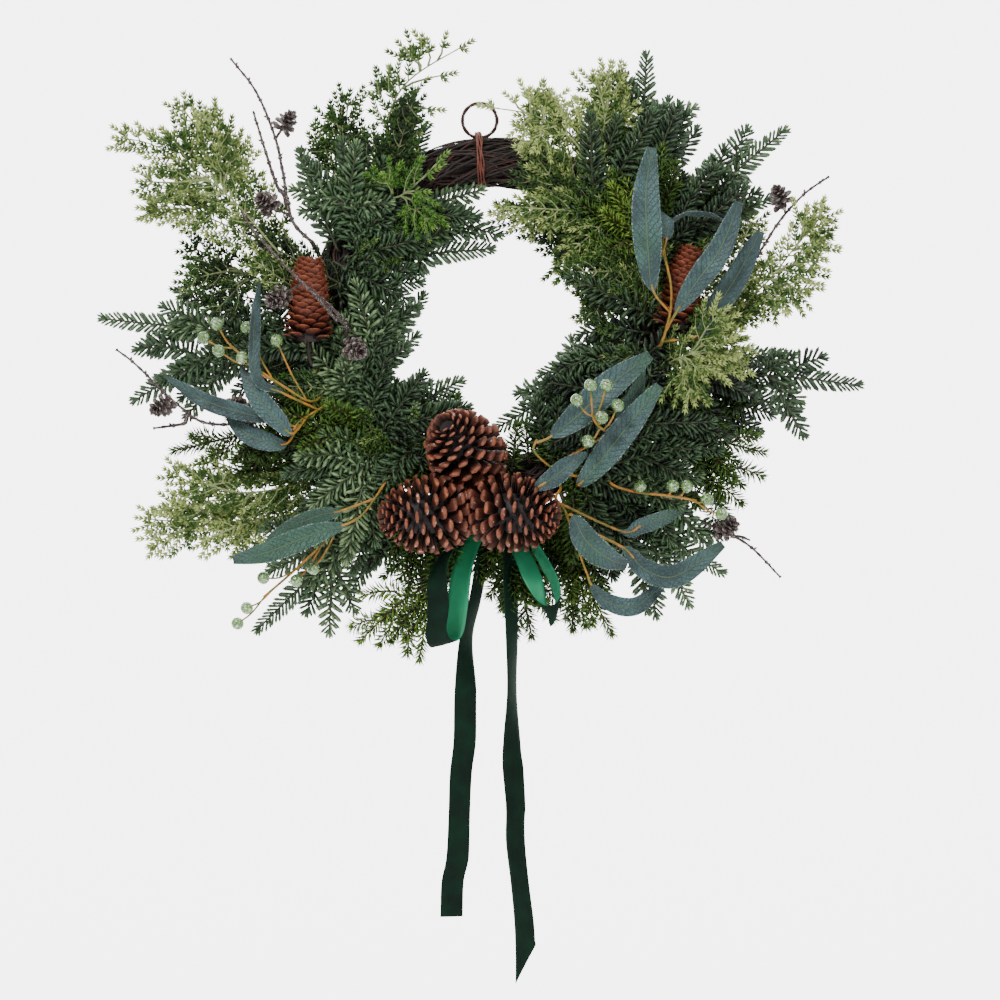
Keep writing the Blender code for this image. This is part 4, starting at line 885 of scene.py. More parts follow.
def frames(walk):
    """(along, side, front) at each point, carried down from the tip so that they never spin."""
    along = []
    for before, after in zip([walk[0]] + walk[:-1], walk[1:] + [walk[-1]]):
        along.append((after - before).normalized())
    front = Vector((0, -1, 0))
    if abs(along[-1].y) > 0.9:
        front = Vector((0, 0, 1))
    made = []
    for tangent in reversed(along):
        front = (front - tangent * front.dot(tangent)).normalized()
        made.append((tangent, front.cross(tangent), front))
    return made[::-1]


def stem_walk(route, step):
    """A stem's points: straight to its second point, so that it leaves its root squarely."""
    return route[:1] + smooth_route(route[1:], step)


def share_point(walk, share):
    """A point at a share of a walk, with the walk's direction there."""
    place = share * (len(walk) - 1)
    k = min(int(place), len(walk) - 2)
    return walk[k].lerp(walk[k + 1], place - k), (walk[k + 1] - walk[k]).normalized()


def ring_route(clock, around, via):
    """A route that leaves the ring squarely and passes the given points."""
    way = ring_direction(clock, around)
    root = ring_spot(clock) + way * BUNDLE_RADIUS * ROOT_LEVEL
    return [root, root + way * 0.006] + via


def long_leaf(mesh, uv, points, width, roll, flat_from, blunt):
    """A thin folded leaf added to a bmesh, with its place across and along in its UVs."""
    walk = smooth_route(points, (points[0] - points[-1]).length / LEAF_ROWS)
    last = len(walk) - 1
    rows = []
    for i, (point, (tangent, side, front)) in enumerate(zip(walk, frames(walk))):
        share = i / last
        part = max(0.0, (share - flat_from) / (1 - flat_from))
        half = width / 2 * math.sin(math.pi * min(1, part * blunt) ** 0.8) ** 0.75 + 0.0008
        turn = Matrix.Rotation(math.radians(roll), 3, tangent)
        side, front = turn @ side, turn @ front
        row = []
        for level in (1, -1):
            for j in range(LEAF_COLUMNS + 1):
                u = 2 * j / LEAF_COLUMNS - 1
                fold = front * (half * 0.24 * abs(u) ** 1.4)
                wave = front * (0.0009 * u * math.sin(11 * part + 2 * u) * min(1, half / 0.004))
                thick = front * (level * LEAF_THICK / 2 * (1 - 0.6 * u * u))
                row.append((mesh.verts.new(point + side * half * u + fold + wave + thick), u))
        rows.append((row, part))
    for _, corners in shell(len(rows), LEAF_COLUMNS):
        face = mesh.faces.new([rows[i][0][j][0] for i, j in corners])
        face.smooth = True
        for loop, (i, j) in zip(face.loops, corners):
            loop[uv].uv = (rows[i][0][j][1] * 0.5 + 0.5, rows[i][1])


def leaf_finish():
    finish = Finish("eucalyptus leaf", Sheen_Weight=0.15)
    uv = finish.node("ShaderNodeTexCoord", "UV")
    split = finish.node("ShaderNodeSeparateXYZ", 0, {"Vector": uv})
    along = Value(finish.tree, split.socket.node.outputs[1])
    off = (split - 0.5).size() * 2
    midrib = 1 - off.between(0.0, 0.10)
    wobble = finish.noise(60, 2) * 0.9
    rib = ((along * 17 - off * 1.9 + wobble) * 2 * math.pi).sine().between(0.86, 0.99)
    net = finish.node("ShaderNodeTexVoronoi", "Distance", {"Vector": finish.place(), "Scale": 330},
                      feature="DISTANCE_TO_EDGE")
    cells = 1 - net.between(0.0, 0.10)
    vein = (midrib + rib + cells * 0.6).between(0.0, 1.0)
    cloud = finish.noise(45, 4)
    tint = finish.noise(9, 1)
    base = finish.mix(cloud.between(0.3, 0.7), srgb(34, 60, 62), srgb(66, 98, 96))
    base = finish.mix(tint.between(0.50, 0.66) * 0.7, base, srgb(50, 96, 70))
    line = finish.mix(midrib, srgb(14, 32, 34), srgb(84, 104, 60))
    colour = finish.mix(vein * 0.75, base, line)
    rim = off.between(0.88, 1.0) * finish.noise(700, 2).between(0.5, 0.6)
    colour = finish.mix(rim * 0.7, colour, srgb(190, 205, 196))
    finish.paint(colour, 0.50 + cloud * 0.2)
    finish.bump(vein, 0.0007)
    return finish.material


def stalk_finish():
    finish = Finish("ochre stalk")
    grain = finish.noise(160, 3)
    finish.paint(finish.mix(grain.between(0.35, 0.65), srgb(108, 108, 44), srgb(184, 122, 42)),
                 0.4 + grain * 0.2)
    finish.bump(grain, 0.0002)
    return finish.material


EUCALYPTUS = leaf_finish()
STALK = stalk_finish()


def with_stalks(name, ending, mesh, skin, growth, sides):
    """The leaves or berries in a bmesh and the stalks in a growth, as one piece."""
    data = bpy.data.meshes.new(name)
    mesh.to_mesh(data)
    mesh.free()
    data.materials.append(skin)
    piece = shown(name + ending, data)
    stalks = growth.dressed(name + "_stalks", sides, STALK)
    with bpy.context.temp_override(active_object=piece, object=piece,
                                   selected_editable_objects=[piece, stalks],
                                   selected_objects=[piece, stalks]):
        bpy.ops.object.join()
    finished(piece, name)


def leafy_stem(name, clock, around, route, leaves):
    """A stem with leaves. A leaf is its start along the stem, its route, width and roll."""
    line = ring_route(clock, around, spots(route))
    coarse = stem_walk(line, 0.014)
    walk = stem_walk(line, 0.002)
    growth = Growth()
    growth.stem(walk, [0.0013 * (1 - 0.35 * i / len(walk)) for i in range(len(walk))])
    mesh = bmesh.new()
    uv = mesh.loops.layers.uv.new("UVMap")
    for start, via, width, roll in leaves:
        root, _ = share_point(coarse, start)
        points = [root] + spots(via)
        total = sum((q - p).length for p, q in zip(points, points[1:]))
        stalk = (points[1] - root).length
        fine = smooth_route(points, 0.002)
        stop = max(2, round(len(fine) * stalk / total * 1.3))
        growth.stem(fine[:stop], [0.0011] * stop)
        blunt = 0.93 if width > 17 else 1.0
        long_leaf(mesh, uv, points, width * MM, roll, stalk / total, blunt)
    bmesh.ops.recalc_face_normals(mesh, faces=mesh.faces)
    with_stalks(name, "_leaves", mesh, EUCALYPTUS, growth, 7)


leafy_stem(
    "eucalyptus_upper_right", 350, 80,
    [(140, -18, 48), (146, 8, 62), (145, 32, 66), (138, 56, 66)],
    [
        (0.55, [(131, 22, 70), (127, 52, 72), (125, 98, 72), (130, 139, 66)], 23, 0),
        (0.97, [(142, 64, 64), (142, 74, 68), (138, 86, 68)], 12, 30),
        (0.80, [(140, 70, 56), (157, 86, 56), (174, 87, 54), (192, 80, 48)], 11, 70),
        (0.40, [(150, 4, 70), (166, 28, 74), (186, 56, 72), (202, 95, 60)], 19, 0),
        (0.30, [(168, -14, 58), (184, 10, 60), (200, 34, 58), (221, 72, 46)], 19, 10),
    ],
)
leafy_stem(
    "eucalyptus_right", 300, 60,
    [(70, -130, 50), (50, -124, 66), (34, -110, 74), (36, -100, 76)],
    [
        (0.97, [(47, -98, 76), (68, -82, 80), (98, -54, 78), (129, -31, 66)], 23, -8),
        (0.70, [(98, -92, 62), (108, -76, 64), (118, -58, 62), (125, -38, 54)], 12, 20),
        (0.35, [(70, -137, 76), (84, -122, 84), (106, -94, 86), (136, -56, 72)], 21, 0),
        (0.50, [(36, -140, 78), (50, -131, 82), (62, -121, 82), (77, -111, 76)], 15, -10),
    ],
)
leafy_stem(
    "eucalyptus_lower_right", 292, 65,
    [(56, -140, 44), (52, -148, 56), (60, -160, 60), (70, -190, 58), (79, -214, 54)],
    [
        (0.55, [(66, -163, 66), (76, -182, 70), (92, -196, 70), (110, -203, 64)], 21, 10),
        (0.60, [(106, -188, 56), (124, -206, 60), (150, -212, 58), (190, -186, 44)], 18, 0),
        (0.99, [(81, -219, 52), (94, -233, 52), (118, -237, 48), (146, -214, 40)], 14, 0),
        (0.45, [(106, -175, 40), (122, -171, 42), (140, -164, 40), (161, -157, 34)], 13, 20),
    ],
)
leafy_stem(
    "eucalyptus_left", 205, 75,
    [(-140, -72, 40), (-158, -84, 52), (-164, -92, 56)],
    [
        (0.95, [(-178, -84, 58), (-204, -78, 56), (-236, -68, 46), (-272, -47, 32)], 13, -10),
        (0.90, [(-170, -103, 52), (-188, -101, 52), (-204, -94, 48), (-220, -81, 40)], 15, 0),
        (0.75, [(-164, -95, 68), (-176, -84, 70), (-192, -66, 68), (-207, -40, 58)], 16, 0),
        (0.60, [(-172, -62, 64), (-192, -52, 68), (-196, -16, 66), (-192, 30, 52)], 10, 35),
    ],
)
leafy_stem(
    "eucalyptus_lower_left", 236, 75,
    [(-92, -140, 44), (-104, -158, 56), (-112, -166, 60)],
    [
        (0.97, [(-122, -170, 64), (-148, -178, 68), (-184, -192, 62), (-214, -199, 50)], 18, 0),
        (0.70, [(-124, -158, 54), (-142, -162, 56), (-164, -170, 52), (-186, -182, 44)], 14, -20),
    ],
)

# ---------------------------------------------------------------- berries
# Round pale green berries with a clear crackled skin, on thin ochre stalks that leave one
# stem. Each stem's root is wired to the ring.

BERRY_RADIUS = 0.0055
BERRY_SAG = 0.003
STALK_STEP = 0.0025


def berry_finish():
    finish = Finish("crackled berry", Transmission_Weight=0.35, IOR=1.45,
                    Coat_Weight=1.0, Coat_Roughness=0.05)
    grid = {"Vector": finish.place(), "Scale": 620}
    crack = finish.node("ShaderNodeTexVoronoi", "Distance", grid, feature="DISTANCE_TO_EDGE")
    facet = finish.node("ShaderNodeTexVoronoi", "Color", grid)
    light = finish.node("ShaderNodeSeparateColor", 0, {"Color": facet})
    colour = finish.mix(light, srgb(62, 112, 40), srgb(140, 184, 104))
    colour = finish.mix(light.between(0.78, 0.9), colour, srgb(222, 240, 206))
    colour = finish.mix(1 - crack.between(0.0, 0.06), colour, srgb(190, 220, 160))
    finish.paint(colour, 0.08 + light * 0.2)
    finish.bump(crack, 0.0007)
    return finish.material


BERRY = berry_finish()


def berry_stem(name, clock, around, route, berries):
    """A thin stem whose side stalks each end in a round berry."""
    line = ring_route(clock, around, spots(route))
    coarse = stem_walk(line, 0.016)
    walk = stem_walk(line, STALK_STEP)
    growth = Growth()
    growth.stem(walk, [0.0011] * len(walk))
    mesh = bmesh.new()
    for start, centre in berries:
        root, _ = share_point(coarse, start)
        middle = at(*centre)
        sag = (root + middle) / 2 - UP * BERRY_SAG
        stalk = smooth_route([root, sag, middle], STALK_STEP)
        growth.stem(stalk, [0.0008] * len(stalk))
        place = Matrix.Translation(middle)
        ball = bmesh.ops.create_icosphere(mesh, subdivisions=2, radius=BERRY_RADIUS, matrix=place)
        for corner in ball["verts"]:
            away = corner.co - middle
            corner.co += away * 0.03 * math.sin(900 * away.x) * math.sin(900 * away.z)
            for face in corner.link_faces:
                face.smooth = True
    with_stalks(name, "_berries", mesh, BERRY, growth, 6)


berry_stem(
    "berry_stem_left", 203, 60,
    [(-150, -68, 48), (-172, -56, 60), (-196, -40, 62), (-216, -22, 56)],
    [
        (0.97, (-238, -16, 54)), (0.93, (-227, -5, 56)), (0.80, (-225, -27, 60)),
        (0.60, (-205, -33, 68)), (0.65, (-202, -8, 58)), (0.40, (-177, -19, 66)),
    ],
)
berry_stem(
    "berry_stem_right", 322, 75,
    [(110, -94, 48), (100, -96, 72), (86, -90, 92), (80, -80, 98)],
    [
        (0.98, (79, -57, 104)), (0.95, (92, -57, 102)), (0.97, (68, -69, 102)),
        (0.80, (101, -73, 100)), (0.90, (88, -83, 106)), (0.85, (77, -102, 98)),
    ],
)
berry_stem(
    "berry_stem_lower_right", 308, 40,
    [(98, -136, 40), (120, -143, 46), (146, -146, 48), (168, -150, 44)],
    [
        (0.55, (121, -138, 54)), (0.78, (148, -138, 54)), (0.85, (160, -138, 50)),
        (0.95, (177, -149, 46)), (0.99, (189, -161, 42)),
    ],
)
berry_stem(
    "berry_stem_lower_left", 229, 40,
    [(-104, -132, 34), (-128, -172, 38), (-160, -204, 40), (-190, -230, 34)],
    [
        (0.93, (-204, -239, 34)), (0.99, (-212, -252, 30)), (0.80, (-190, -214, 38)),
        (0.62, (-162, -216, 48)), (0.50, (-148, -206, 50)),
    ],
)

# ---------------------------------------------------------------- larch twigs
# Knobbly grey-brown twigs with small woody rosette cones, both dusted with white frost. Each
# twig is wired to the ring by its thick end.

LARCH_RADIUS = 0.0019
LARCH_STEP = 0.0016
BUD_GAP = 0.0088
ROSETTE_SCALES = 30
CORE_RINGS = 9
LARCH_SCALE = blade("larch_scale", [
    (0.0, 0.22, 0.06, 0.0), (0.45, 0.46, 0.06, 0.05), (0.8, 0.44, 0.05, 0.0),
    (1.0, 0.16, 0.05, -0.14),
], 8)


def larch_finish(name, dark, light, frost):
    finish = Finish(name)
    grain = finish.noise(500, 4)
    share = finish.attribute("share")
    colour = finish.mix(grain.between(0.3, 0.7), dark, light)
    white = finish.noise(1100, 2).between(0.58, 0.66) * frost
    white = white + share.between(0.86, 1.0) * 0.35 * frost
    finish.paint(finish.mix(white, colour, srgb(214, 208, 206)), 0.55 + grain * 0.3)
    finish.bump(grain, 0.0005)
    return finish.material


LARCH_BARK = larch_finish("frosted twig", srgb(30, 20, 18), srgb(84, 66, 60), 0.55)
LARCH_CONE = larch_finish("frosted rosette", srgb(34, 24, 22), srgb(98, 80, 74), 0.6)


def knobbly(count):
    """Radii of a twig that thins towards its tip and swells at its buds."""
    made = []
    for i in range(count):
        bud = max(0.0, math.cos(2 * math.pi * i * LARCH_STEP / BUD_GAP)) ** 6
        made.append(LARCH_RADIUS * (0.85 + 0.75 * bud) * (1 - 0.45 * i / count))
    return made


def side_route(start, along, via):
    """A side stem's route, which leaves the main one at a slant."""
    reach = min(0.010, (via[0] - start).length / 2)
    way = ((via[0] - start).normalized() + along * 0.4).normalized()
    return [start, start + way * reach] + via


def larch_twig(name, clock, around, route, forks, cones):
    """A knobbly twig with forks, and a small cone on a stub at each of the given places."""
    line = ring_route(clock, around, spots(route))
    coarse = stem_walk(line, 0.011)
    growth = Growth()
    walks = [stem_walk(line, LARCH_STEP)]
    for start, via in forks:
        root, along = share_point(coarse, start)
        fork = side_route(root, along, spots(via))
        walks.append(stem_walk(fork, LARCH_STEP))
    for walk in walks:
        growth.stem(walk, knobbly(len(walk)))
        for i, (tangent, side, _) in list(enumerate(frames(walk)))[12::11]:
            turn = Matrix.Rotation(i * 2.4, 3, tangent)
            away = (turn @ side + tangent * 0.7).normalized()
            growth.stem([walk[i], walk[i] + away * 0.0022, walk[i] + away * 0.0038],
                        [0.0009, 0.0011, 0.0003])
    for start, centre, way in cones:
        root, _ = share_point(coarse, start)
        middle = at(*centre)
        way = facing(*way)
        growth.stem([root, (root + middle) / 2 - way * 0.005, middle - way * 0.002], [0.0012] * 3)
        growth.stem([middle - way * 0.008 + way * 0.0015 * i for i in range(CORE_RINGS)],
                    [0.0028 * (1 - 0.08 * i) for i in range(CORE_RINGS)], 0.1)
        side = way.orthogonal().normalized()
        for k in range(ROSETTE_SCALES):
            share = (k + 0.5) / ROSETTE_SCALES
            out = Matrix.Rotation(GOLDEN * k, 3, way) @ side
            spot = middle + way * (0.0135 * share - 0.007) + out * 0.0018
            growth.leaf(spot, *leaning(out, way, math.radians(-8 + 80 * share)),
                        0.0098 * (1 - 0.40 * share), random.random())
    piece = growth.dressed(name + "_wood", 6, LARCH_BARK, LARCH_SCALE, LARCH_CONE, 7,
                           Leaf_Length=1.0, Leaf_Width=0.80, Length_Spread=0.12)
    finished(piece, name)


larch_twig(
    "larch_twig_upper_left", 160, 40,
    [(-148, 62, 36), (-166, 82, 40), (-174, 122, 36), (-181, 152, 30), (-197, 190, 24),
     (-219, 219, 18)],
    [(0.35, [(-180, 113, 28), (-190, 143, 24), (-200, 175, 18)])],
    [(0.62, (-171, 163, 38), (0.5, 0.6, 0.5)), (0.30, (-187, 96, 48), (-0.5, 0.3, 0.8))],
)
larch_twig(
    "larch_twig_over_cone", 186, 112,
    [(-122, -14, 42), (-120, -6, 68), (-134, 10, 80), (-160, 32, 82), (-194, 69, 64),
     (-208, 90, 50)],
    [(0.30, [(-128, -2, 84), (-140, 12, 88), (-155, 28, 86)])],
    [(0.55, (-177, 16, 62), (-0.6, -0.3, 0.7)), (0.16, (-112, -26, 62), (0.5, -0.3, 0.8))],
)
larch_twig(
    "larch_twig_left", 207, 40,
    [(-150, -76, 30), (-190, -84, 34), (-236, -86, 32), (-262, -70, 30), (-297, -37, 24),
     (-314, -24, 20)],
    [(0.62, [(-256, -86, 32), (-282, -90, 30)])],
    [(0.75, (-274, -72, 42), (-0.6, -0.3, 0.7)), (0.45, (-211, -72, 38), (0.4, 0.2, 0.9))],
)
larch_twig(
    "larch_twig_upper_right", 12, 30,
    [(172, 34, 24), (200, 40, 28), (218, 52, 30), (238, 82, 30), (259, 105, 26), (280, 120, 22)],
    [],
    [(0.72, (238, 102, 36), (-0.4, 0.6, 0.7))],
)
larch_twig(
    "larch_twig_lower_right", 306, 15,
    [(114, -146, 14), (150, -156, 18), (192, -176, 22), (214, -188, 22), (240, -214, 18)],
    [(0.70, [(206, -180, 24), (214, -183, 26)])],
    [(0.66, (195, -172, 32), (0.5, 0.4, 0.7))],
)

# ---------------------------------------------------------------- fir
# Moulded fir sprays on wire stems, wound onto the ring. Flat blue-green needles stand in a comb
# on both sides, with a shorter row along the front.

FIR_NEEDLE = blade("fir_needle", [
    (0.0, 0.36, 0.26, 0.0), (0.78, 0.56, 0.24, 0.25), (1.0, 0, 0, -0.1),
], 3)
FIR_STEP = 0.0019
THINNED = 5
BARE_FROM, BARE_TO = 72, 117
RIBBON_FROM, RIBBON_TO = 244, 296
HOLE_RADIUS = 0.066


def needle_finish(name, deep, middle, light, rough, stripe=0.0):
    """Moulded needles: darker within the wreath, as painted shade that the tint carries, lighter
    towards their tips.
    """
    finish = Finish(name, Specular_IOR_Level=0.35)
    tint = finish.attribute("tint")
    share = finish.attribute("share")
    grain = finish.noise(260, 3)
    level = tint + (share - 0.5) * 0.22 + (grain - 0.5) * 0.20
    colour = finish.mix(level.between(0.0, 0.5), deep, middle)
    colour = finish.mix(level.between(0.5, 1.0), colour, light)
    # Pale bluish-grey streaks over the needles: painted highlight, standing for glints on their
    # gloss.
    if stripe:
        highlight_mask = finish.noise(900, 2).between(0.60, 0.72) * stripe
        colour = finish.mix(highlight_mask, colour, srgb(190, 205, 200))
    finish.paint(colour, rough - 0.08 + grain * 0.2)
    finish.bump(grain, 0.0003)
    return finish.material


def twig_finish(name, dark, light):
    finish = Finish(name)
    grain = finish.noise(300, 3)
    tint = finish.attribute("tint")
    finish.paint(finish.mix((grain * 0.6 + tint * 0.5).between(0.2, 0.9), dark, light),
                 0.5 + grain * 0.25)
    finish.bump(grain, 0.0003)
    return finish.material


FIR_GREEN = needle_finish("fir needles", srgb(13, 24, 14), srgb(66, 92, 60), srgb(140, 164, 116),
                          0.42, 0.15)
FIR_WOOD = twig_finish("fir stems", srgb(38, 44, 32), srgb(74, 76, 50))


def passing(start, given):
    """The points that a stem passes. A lone end gets one half way, pushed forwards and up."""
    via = spots(given if isinstance(given, list) else [given])
    if len(via) == 1:
        away = via[0] - start
        via.insert(0, (start + via[0]) / 2 + Vector((0, -0.07, 0.04)) * away.length)
    return via


def spray_routes(pitch, clock, around, tip, sides, bare):
    """The main stem's route, then each side stem's, which leaves it at a share of its stations."""
    start = ring_spot(clock) + ring_direction(clock, around) * (BUNDLE_RADIUS + 0.008)
    routes = [ring_route(clock, around, passing(start, tip))]
    stations = stem_walk(routes[0], pitch)
    first = round(bare * len(stations))
    kept = [p for i, p in enumerate(stations) if i < 2 or i >= first or i % THINNED == 0]
    for share, end in sides:
        root, along = share_point(kept, share)
        routes.append(side_route(root, along, passing(root, end)))
    return routes


def tapered(walk, thick, thin):
    """Radii that shrink evenly along a walk."""
    return [thick + (thin - thick) * i / (len(walk) - 1) for i in range(len(walk))]


def comb(growth, walk, shade, bare):
    """Flat needles along a twig: two ranks to each side, and a shorter rank over the front."""
    last = len(walk) - 1
    for i, (along, side, front) in enumerate(frames(walk)):
        share = i / last
        if share < bare:
            continue
        size = min(1.0, 0.65 + 3 * (share - bare)) * (1 - 0.42 * share ** 4)
        lean = math.radians(67 - 30 * share ** 2 + random.uniform(-5, 5))
        hand = 1 if i % 2 else -1
        rise = math.radians((16, 12, -20, -26)[i % 4] + random.uniform(-6, 6))
        out = side * hand * math.cos(rise) + front * math.sin(rise)
        way = along * math.cos(lean) + out * math.sin(lean)
        growth.leaf(walk[i], way, front, size, shade + random.uniform(-0.12, 0.12))
        if i % 3 == 0:
            lean = math.radians(38 + random.uniform(-6, 6))
            out = (front + side * hand * random.uniform(0.4, 1.1)).normalized()
            way = along * math.cos(lean) + out * math.sin(lean)
            growth.leaf(walk[i], way, front, size * 0.72, shade + random.uniform(0.0, 0.22))
    along, side, front = frames(walk)[-1]
    for k in range(5):
        out = side * math.cos(k * 1.26) + front * math.sin(k * 1.26)
        growth.leaf(walk[-1], (along + out * 0.35).normalized(), front, 0.62, shade + 0.1)


def side_twig(walk, share, hand, turn, reach):
    """A short twig off another one, bending forward along it."""
    root, along = share_point(walk, share)
    _, side, front = frames(walk)[min(len(walk) - 1, round(share * (len(walk) - 1)))]
    out = side * hand * math.cos(turn) + front * math.sin(turn)
    bend = root + (along * 0.62 + out * 0.78) * reach * 0.5
    return [root, bend, root + (along * 0.84 + out * 0.62) * reach]


def is_by_loop(p):
    """Whether a point is in the bare place round the hanging loop."""
    right, up = p.x - RING_CENTRE.x, p.z - RING_CENTRE.z
    return -0.056 < right < 0.020 and up > 0.098


def is_over_ribbon(p):
    """Whether a point is in front of the ribbon's loops."""
    right, up = p.x - RING_CENTRE.x, p.z - RING_CENTRE.z
    return -0.065 < right < 0.055 and up < -0.150 and p.y < -0.019


def is_inside(walk):
    """Whether a twig keeps within the wreath's depth and reach, and out of its hole."""
    for p in walk:
        if is_by_loop(p) or is_over_ribbon(p):
            return False
        if not CAD_LOW.x + 0.012 < p.x < CAD_HIGH.x - 0.012:
            return False
        if not CAD_LOW.y + 0.006 < p.y < CAD_HIGH.y - 0.008:
            return False
        if math.hypot(p.x - RING_CENTRE.x, p.z - RING_CENTRE.z) < HOLE_RADIUS:
            return False
    return True


def cover_routes(count, clock, around, tip, low, high):
    """Shorter twigs from the ring beside a spray, which hide the vines there."""
    end = at(*(tip[-1] if isinstance(tip, list) else tip))
    aim = end - ring_spot(clock)
    aim = Vector((aim.x, 0, aim.z)).normalized()
    routes = []
    for k in range(count):
        spot = clock + random.uniform(-15, 15)
        reach = random.uniform(low, high)
        goal = aim
        turn = max(20, min(150, around + random.uniform(-55, 55)))
        if k % 2:
            turn = random.uniform(65, 125)
        elif k % 4 == 2:
            turn = random.uniform(90, 135)
            goal = -ring_outwards(spot)
            reach *= random.uniform(0.35, 0.62)
        if goal is aim and RIBBON_FROM < spot % 360 < RIBBON_TO:
            turn = random.uniform(-25, 32)
        way = ring_direction(spot, turn)
        root = ring_spot(spot) + way * BUNDLE_RADIUS * ROOT_LEVEL
        goal = Matrix.Rotation(math.radians(random.uniform(-40, 40)), 3, "Y") @ goal
        goal = (goal + FRONT * random.uniform(-0.05, 0.28)).normalized()
        route = [root, root + way * 0.006, root + way * 0.013 + goal * reach * 0.45,
                 root + way * 0.009 + goal * reach]
        if not BARE_FROM < spot % 360 < BARE_TO and is_inside(route):
            routes.append(route)
    return routes


def beside(route, swing, scale):
    """The same stem again, swung about its root and shorter."""
    turn = Matrix.Rotation(math.radians(swing), 3, "Y")
    tilt = Vector((0, random.uniform(-0.02, 0.14), 0))
    root = route[0]
    made = [root]
    for point in route[1:]:
        away = (point - root) * scale
        made.append(root + turn @ away + tilt * away.length)
    return made


def with_company(routes, main_swings, side_swings):
    """Each route, and the same again swung to either side where that stays in bounds."""
    made = []
    for number, route in enumerate(routes):
        made.append((route, number == 0))
        for swing in main_swings if number == 0 else side_swings:
            near = beside(route, swing * random.uniform(0.8, 1.3), random.uniform(0.58, 0.80))
            if is_inside(near[2:]):
                made.append((near, number == 0))
    return made


def needled(kind, name, shade, clock, around, tip, sides, bare=0.3, cover=None):
    """A spray: its stems, twigs on each of them, and short cover twigs on the ring below."""
    growth = Growth()
    step = kind["step"]

    def twig(walk, girth, level, bare):
        growth.stem(walk, tapered(walk, *girth), 0.4)
        kind["dress"](growth, walk, level, bare)

    cover = cover or kind["cover"]
    # Cover twigs get a darker tint than the spray's, lowered by their cover shade: painted shade,
    # since they lie low on the ring under the sprays.
    for route in cover_routes(cover, clock, around, tip, *kind["cover_reach"]):
        twig(stem_walk(route, step), kind["cover_girth"], shade - kind["cover_painted_shade"], 0.08)
    routes = spray_routes(kind["pitch"], clock, around, tip, sides, bare)
    for route, is_main in with_company(routes, *kind["swings"]):
        walk = stem_walk(route, step)
        level = shade + random.uniform(*kind["levels"])
        twig(walk, kind["girth"], level, kind["main_bare"] if is_main else 0.05)
        extras = int(len(walk) * step / kind["twig_gaps"][0 if is_main else 1])
        for k in range(extras):
            share = kind["twig_spot"](k, extras)
            turn = math.radians(random.uniform(-kind["twig_turn"], kind["twig_turn"]))
            reach = random.uniform(*kind["twig_reach"]) * (1.15 - 0.6 * share)
            side = smooth_route(side_twig(walk, share, 1 if k % 2 else -1, turn, reach), step)
            if is_inside(side):
                twig(side, kind["twig_girth"], level - kind["twig_shade"], 0.10)
    length, width, spread = kind["needle_size"]
    piece = growth.dressed(name + "_needles", kind["stem_sides"], kind["wood"], kind["needle"],
                           kind["green"], clock, Leaf_Length=length, Leaf_Width=width,
                           Length_Spread=spread)
    finished(piece, name)


FIR = {
    "slot": "fir", "step": FIR_STEP, "pitch": 0.0091, "dress": comb, "needle": FIR_NEEDLE,
    "needle_size": (0.0162, 0.0035, 0.10), "green": FIR_GREEN, "wood": FIR_WOOD, "stem_sides": 5,
    "cover": 14, "cover_reach": (0.055, 0.090), "cover_girth": (0.0013, 0.0008),
    "cover_painted_shade": 0.20, "swings": ((-15, 15), (-19,)), "girth": (0.0015, 0.0008),
    "levels": (-0.08, 0.20), "main_bare": 0.16, "twig_gaps": (0.060, 0.070),
    "twig_spot": lambda k, count: 0.22 + 0.42 * k / (count - 1) if count > 1 else 0.35,
    "twig_turn": 22, "twig_reach": (0.036, 0.056), "twig_girth": (0.0010, 0.0007),
    "twig_shade": 0.10,
}

# Each row: name, shade, the root's place on the ring and round it, the tip, and the side stems,
# which leave the main one at a share of it.
for row in (
    ("fir_top_left", 0.55, 148, 70, (-113, 140, 44), [(0.30, (-162, 107, 34)),
     (0.25, (-88, 96, 40))]),
    ("fir_inner_upper_left", 0.42, 160, 130, (-5, 60, 16), [(0.25, (-32, 80, 30)),
     (0.45, (-66, 40, 34))]),
    ("fir_inner_top_left", 0.45, 128, 150, (-13, 109, 12), []),
    ("fir_left", 0.42, 192, 10, (-323, 2, 8), [(0.40, (-271, 10, 22)), (0.30, (-238, -8, 30)),
     (0.2, (-297, -64, 6))]),
    ("fir_inner_left", 0.55, 206, 120, (-60, 18, 22), [(0.20, (-112, 26, 46)),
     (0.35, (-86, -6, 34))]),
    ("fir_inner_low_left", 0.40, 226, 120, (-30, -52, 26), [(0.20, (-66, -74, 40))]),
    ("fir_over_left", 0.60, 212, 95, (-152, -24, 46), [(0.30, (-118, -34, 54))]),
    ("fir_top_right", 0.42, 40, 20, (128, 218, 14), [(0.35, (166, 178, 4)),
     (0.50, (148, 172, 22))]),
    ("fir_upper_right", 0.36, 24, 10, (241, 157, 14), [(0.35, (192, 140, 22)),
     (0.55, (208, 120, 4))]),
    ("fir_inner_right", 0.34, 336, 150, (6, -88, 22), [(0.45, (24, -60, 12)),
     (0.30, (66, -18, 12))]),
    ("fir_inner_mid_right", 0.42, 346, 120, (44, -44, 34), [(0.35, (86, -36, 44))]),
    ("fir_right", 0.30, 342, 5, (302, -53, 12), [(0.45, (258, -92, 10)), (0.40, (247, -32, 26))]),
    ("fir_lower_left", 0.52, 246, 30, (-194, -255, 16), [(0.45, (-137, -257, 8)),
     (0.25, (-182, -208, 30))]),
    ("fir_low_left_front", 0.52, 232, 70, (-146, -152, 48), [(0.25, (-120, -196, 46))]),
    ("fir_lower_right", 0.42, 296, 20, (188, -208, 14), [(0.40, (163, -234, 4)),
     (0.30, (128, -238, 22))]),
    ("fir_low_right_front", 0.42, 304, 60, (168, -128, 30), [(0.30, (176, -184, 26))], 0.3, 26),
):
    needled(FIR, *row)

# ---------------------------------------------------------------- pine
# Bushy sprays with short bright moulded needles all round each twig, like small bottle
# brushes. Their wire stems are wound onto the ring.

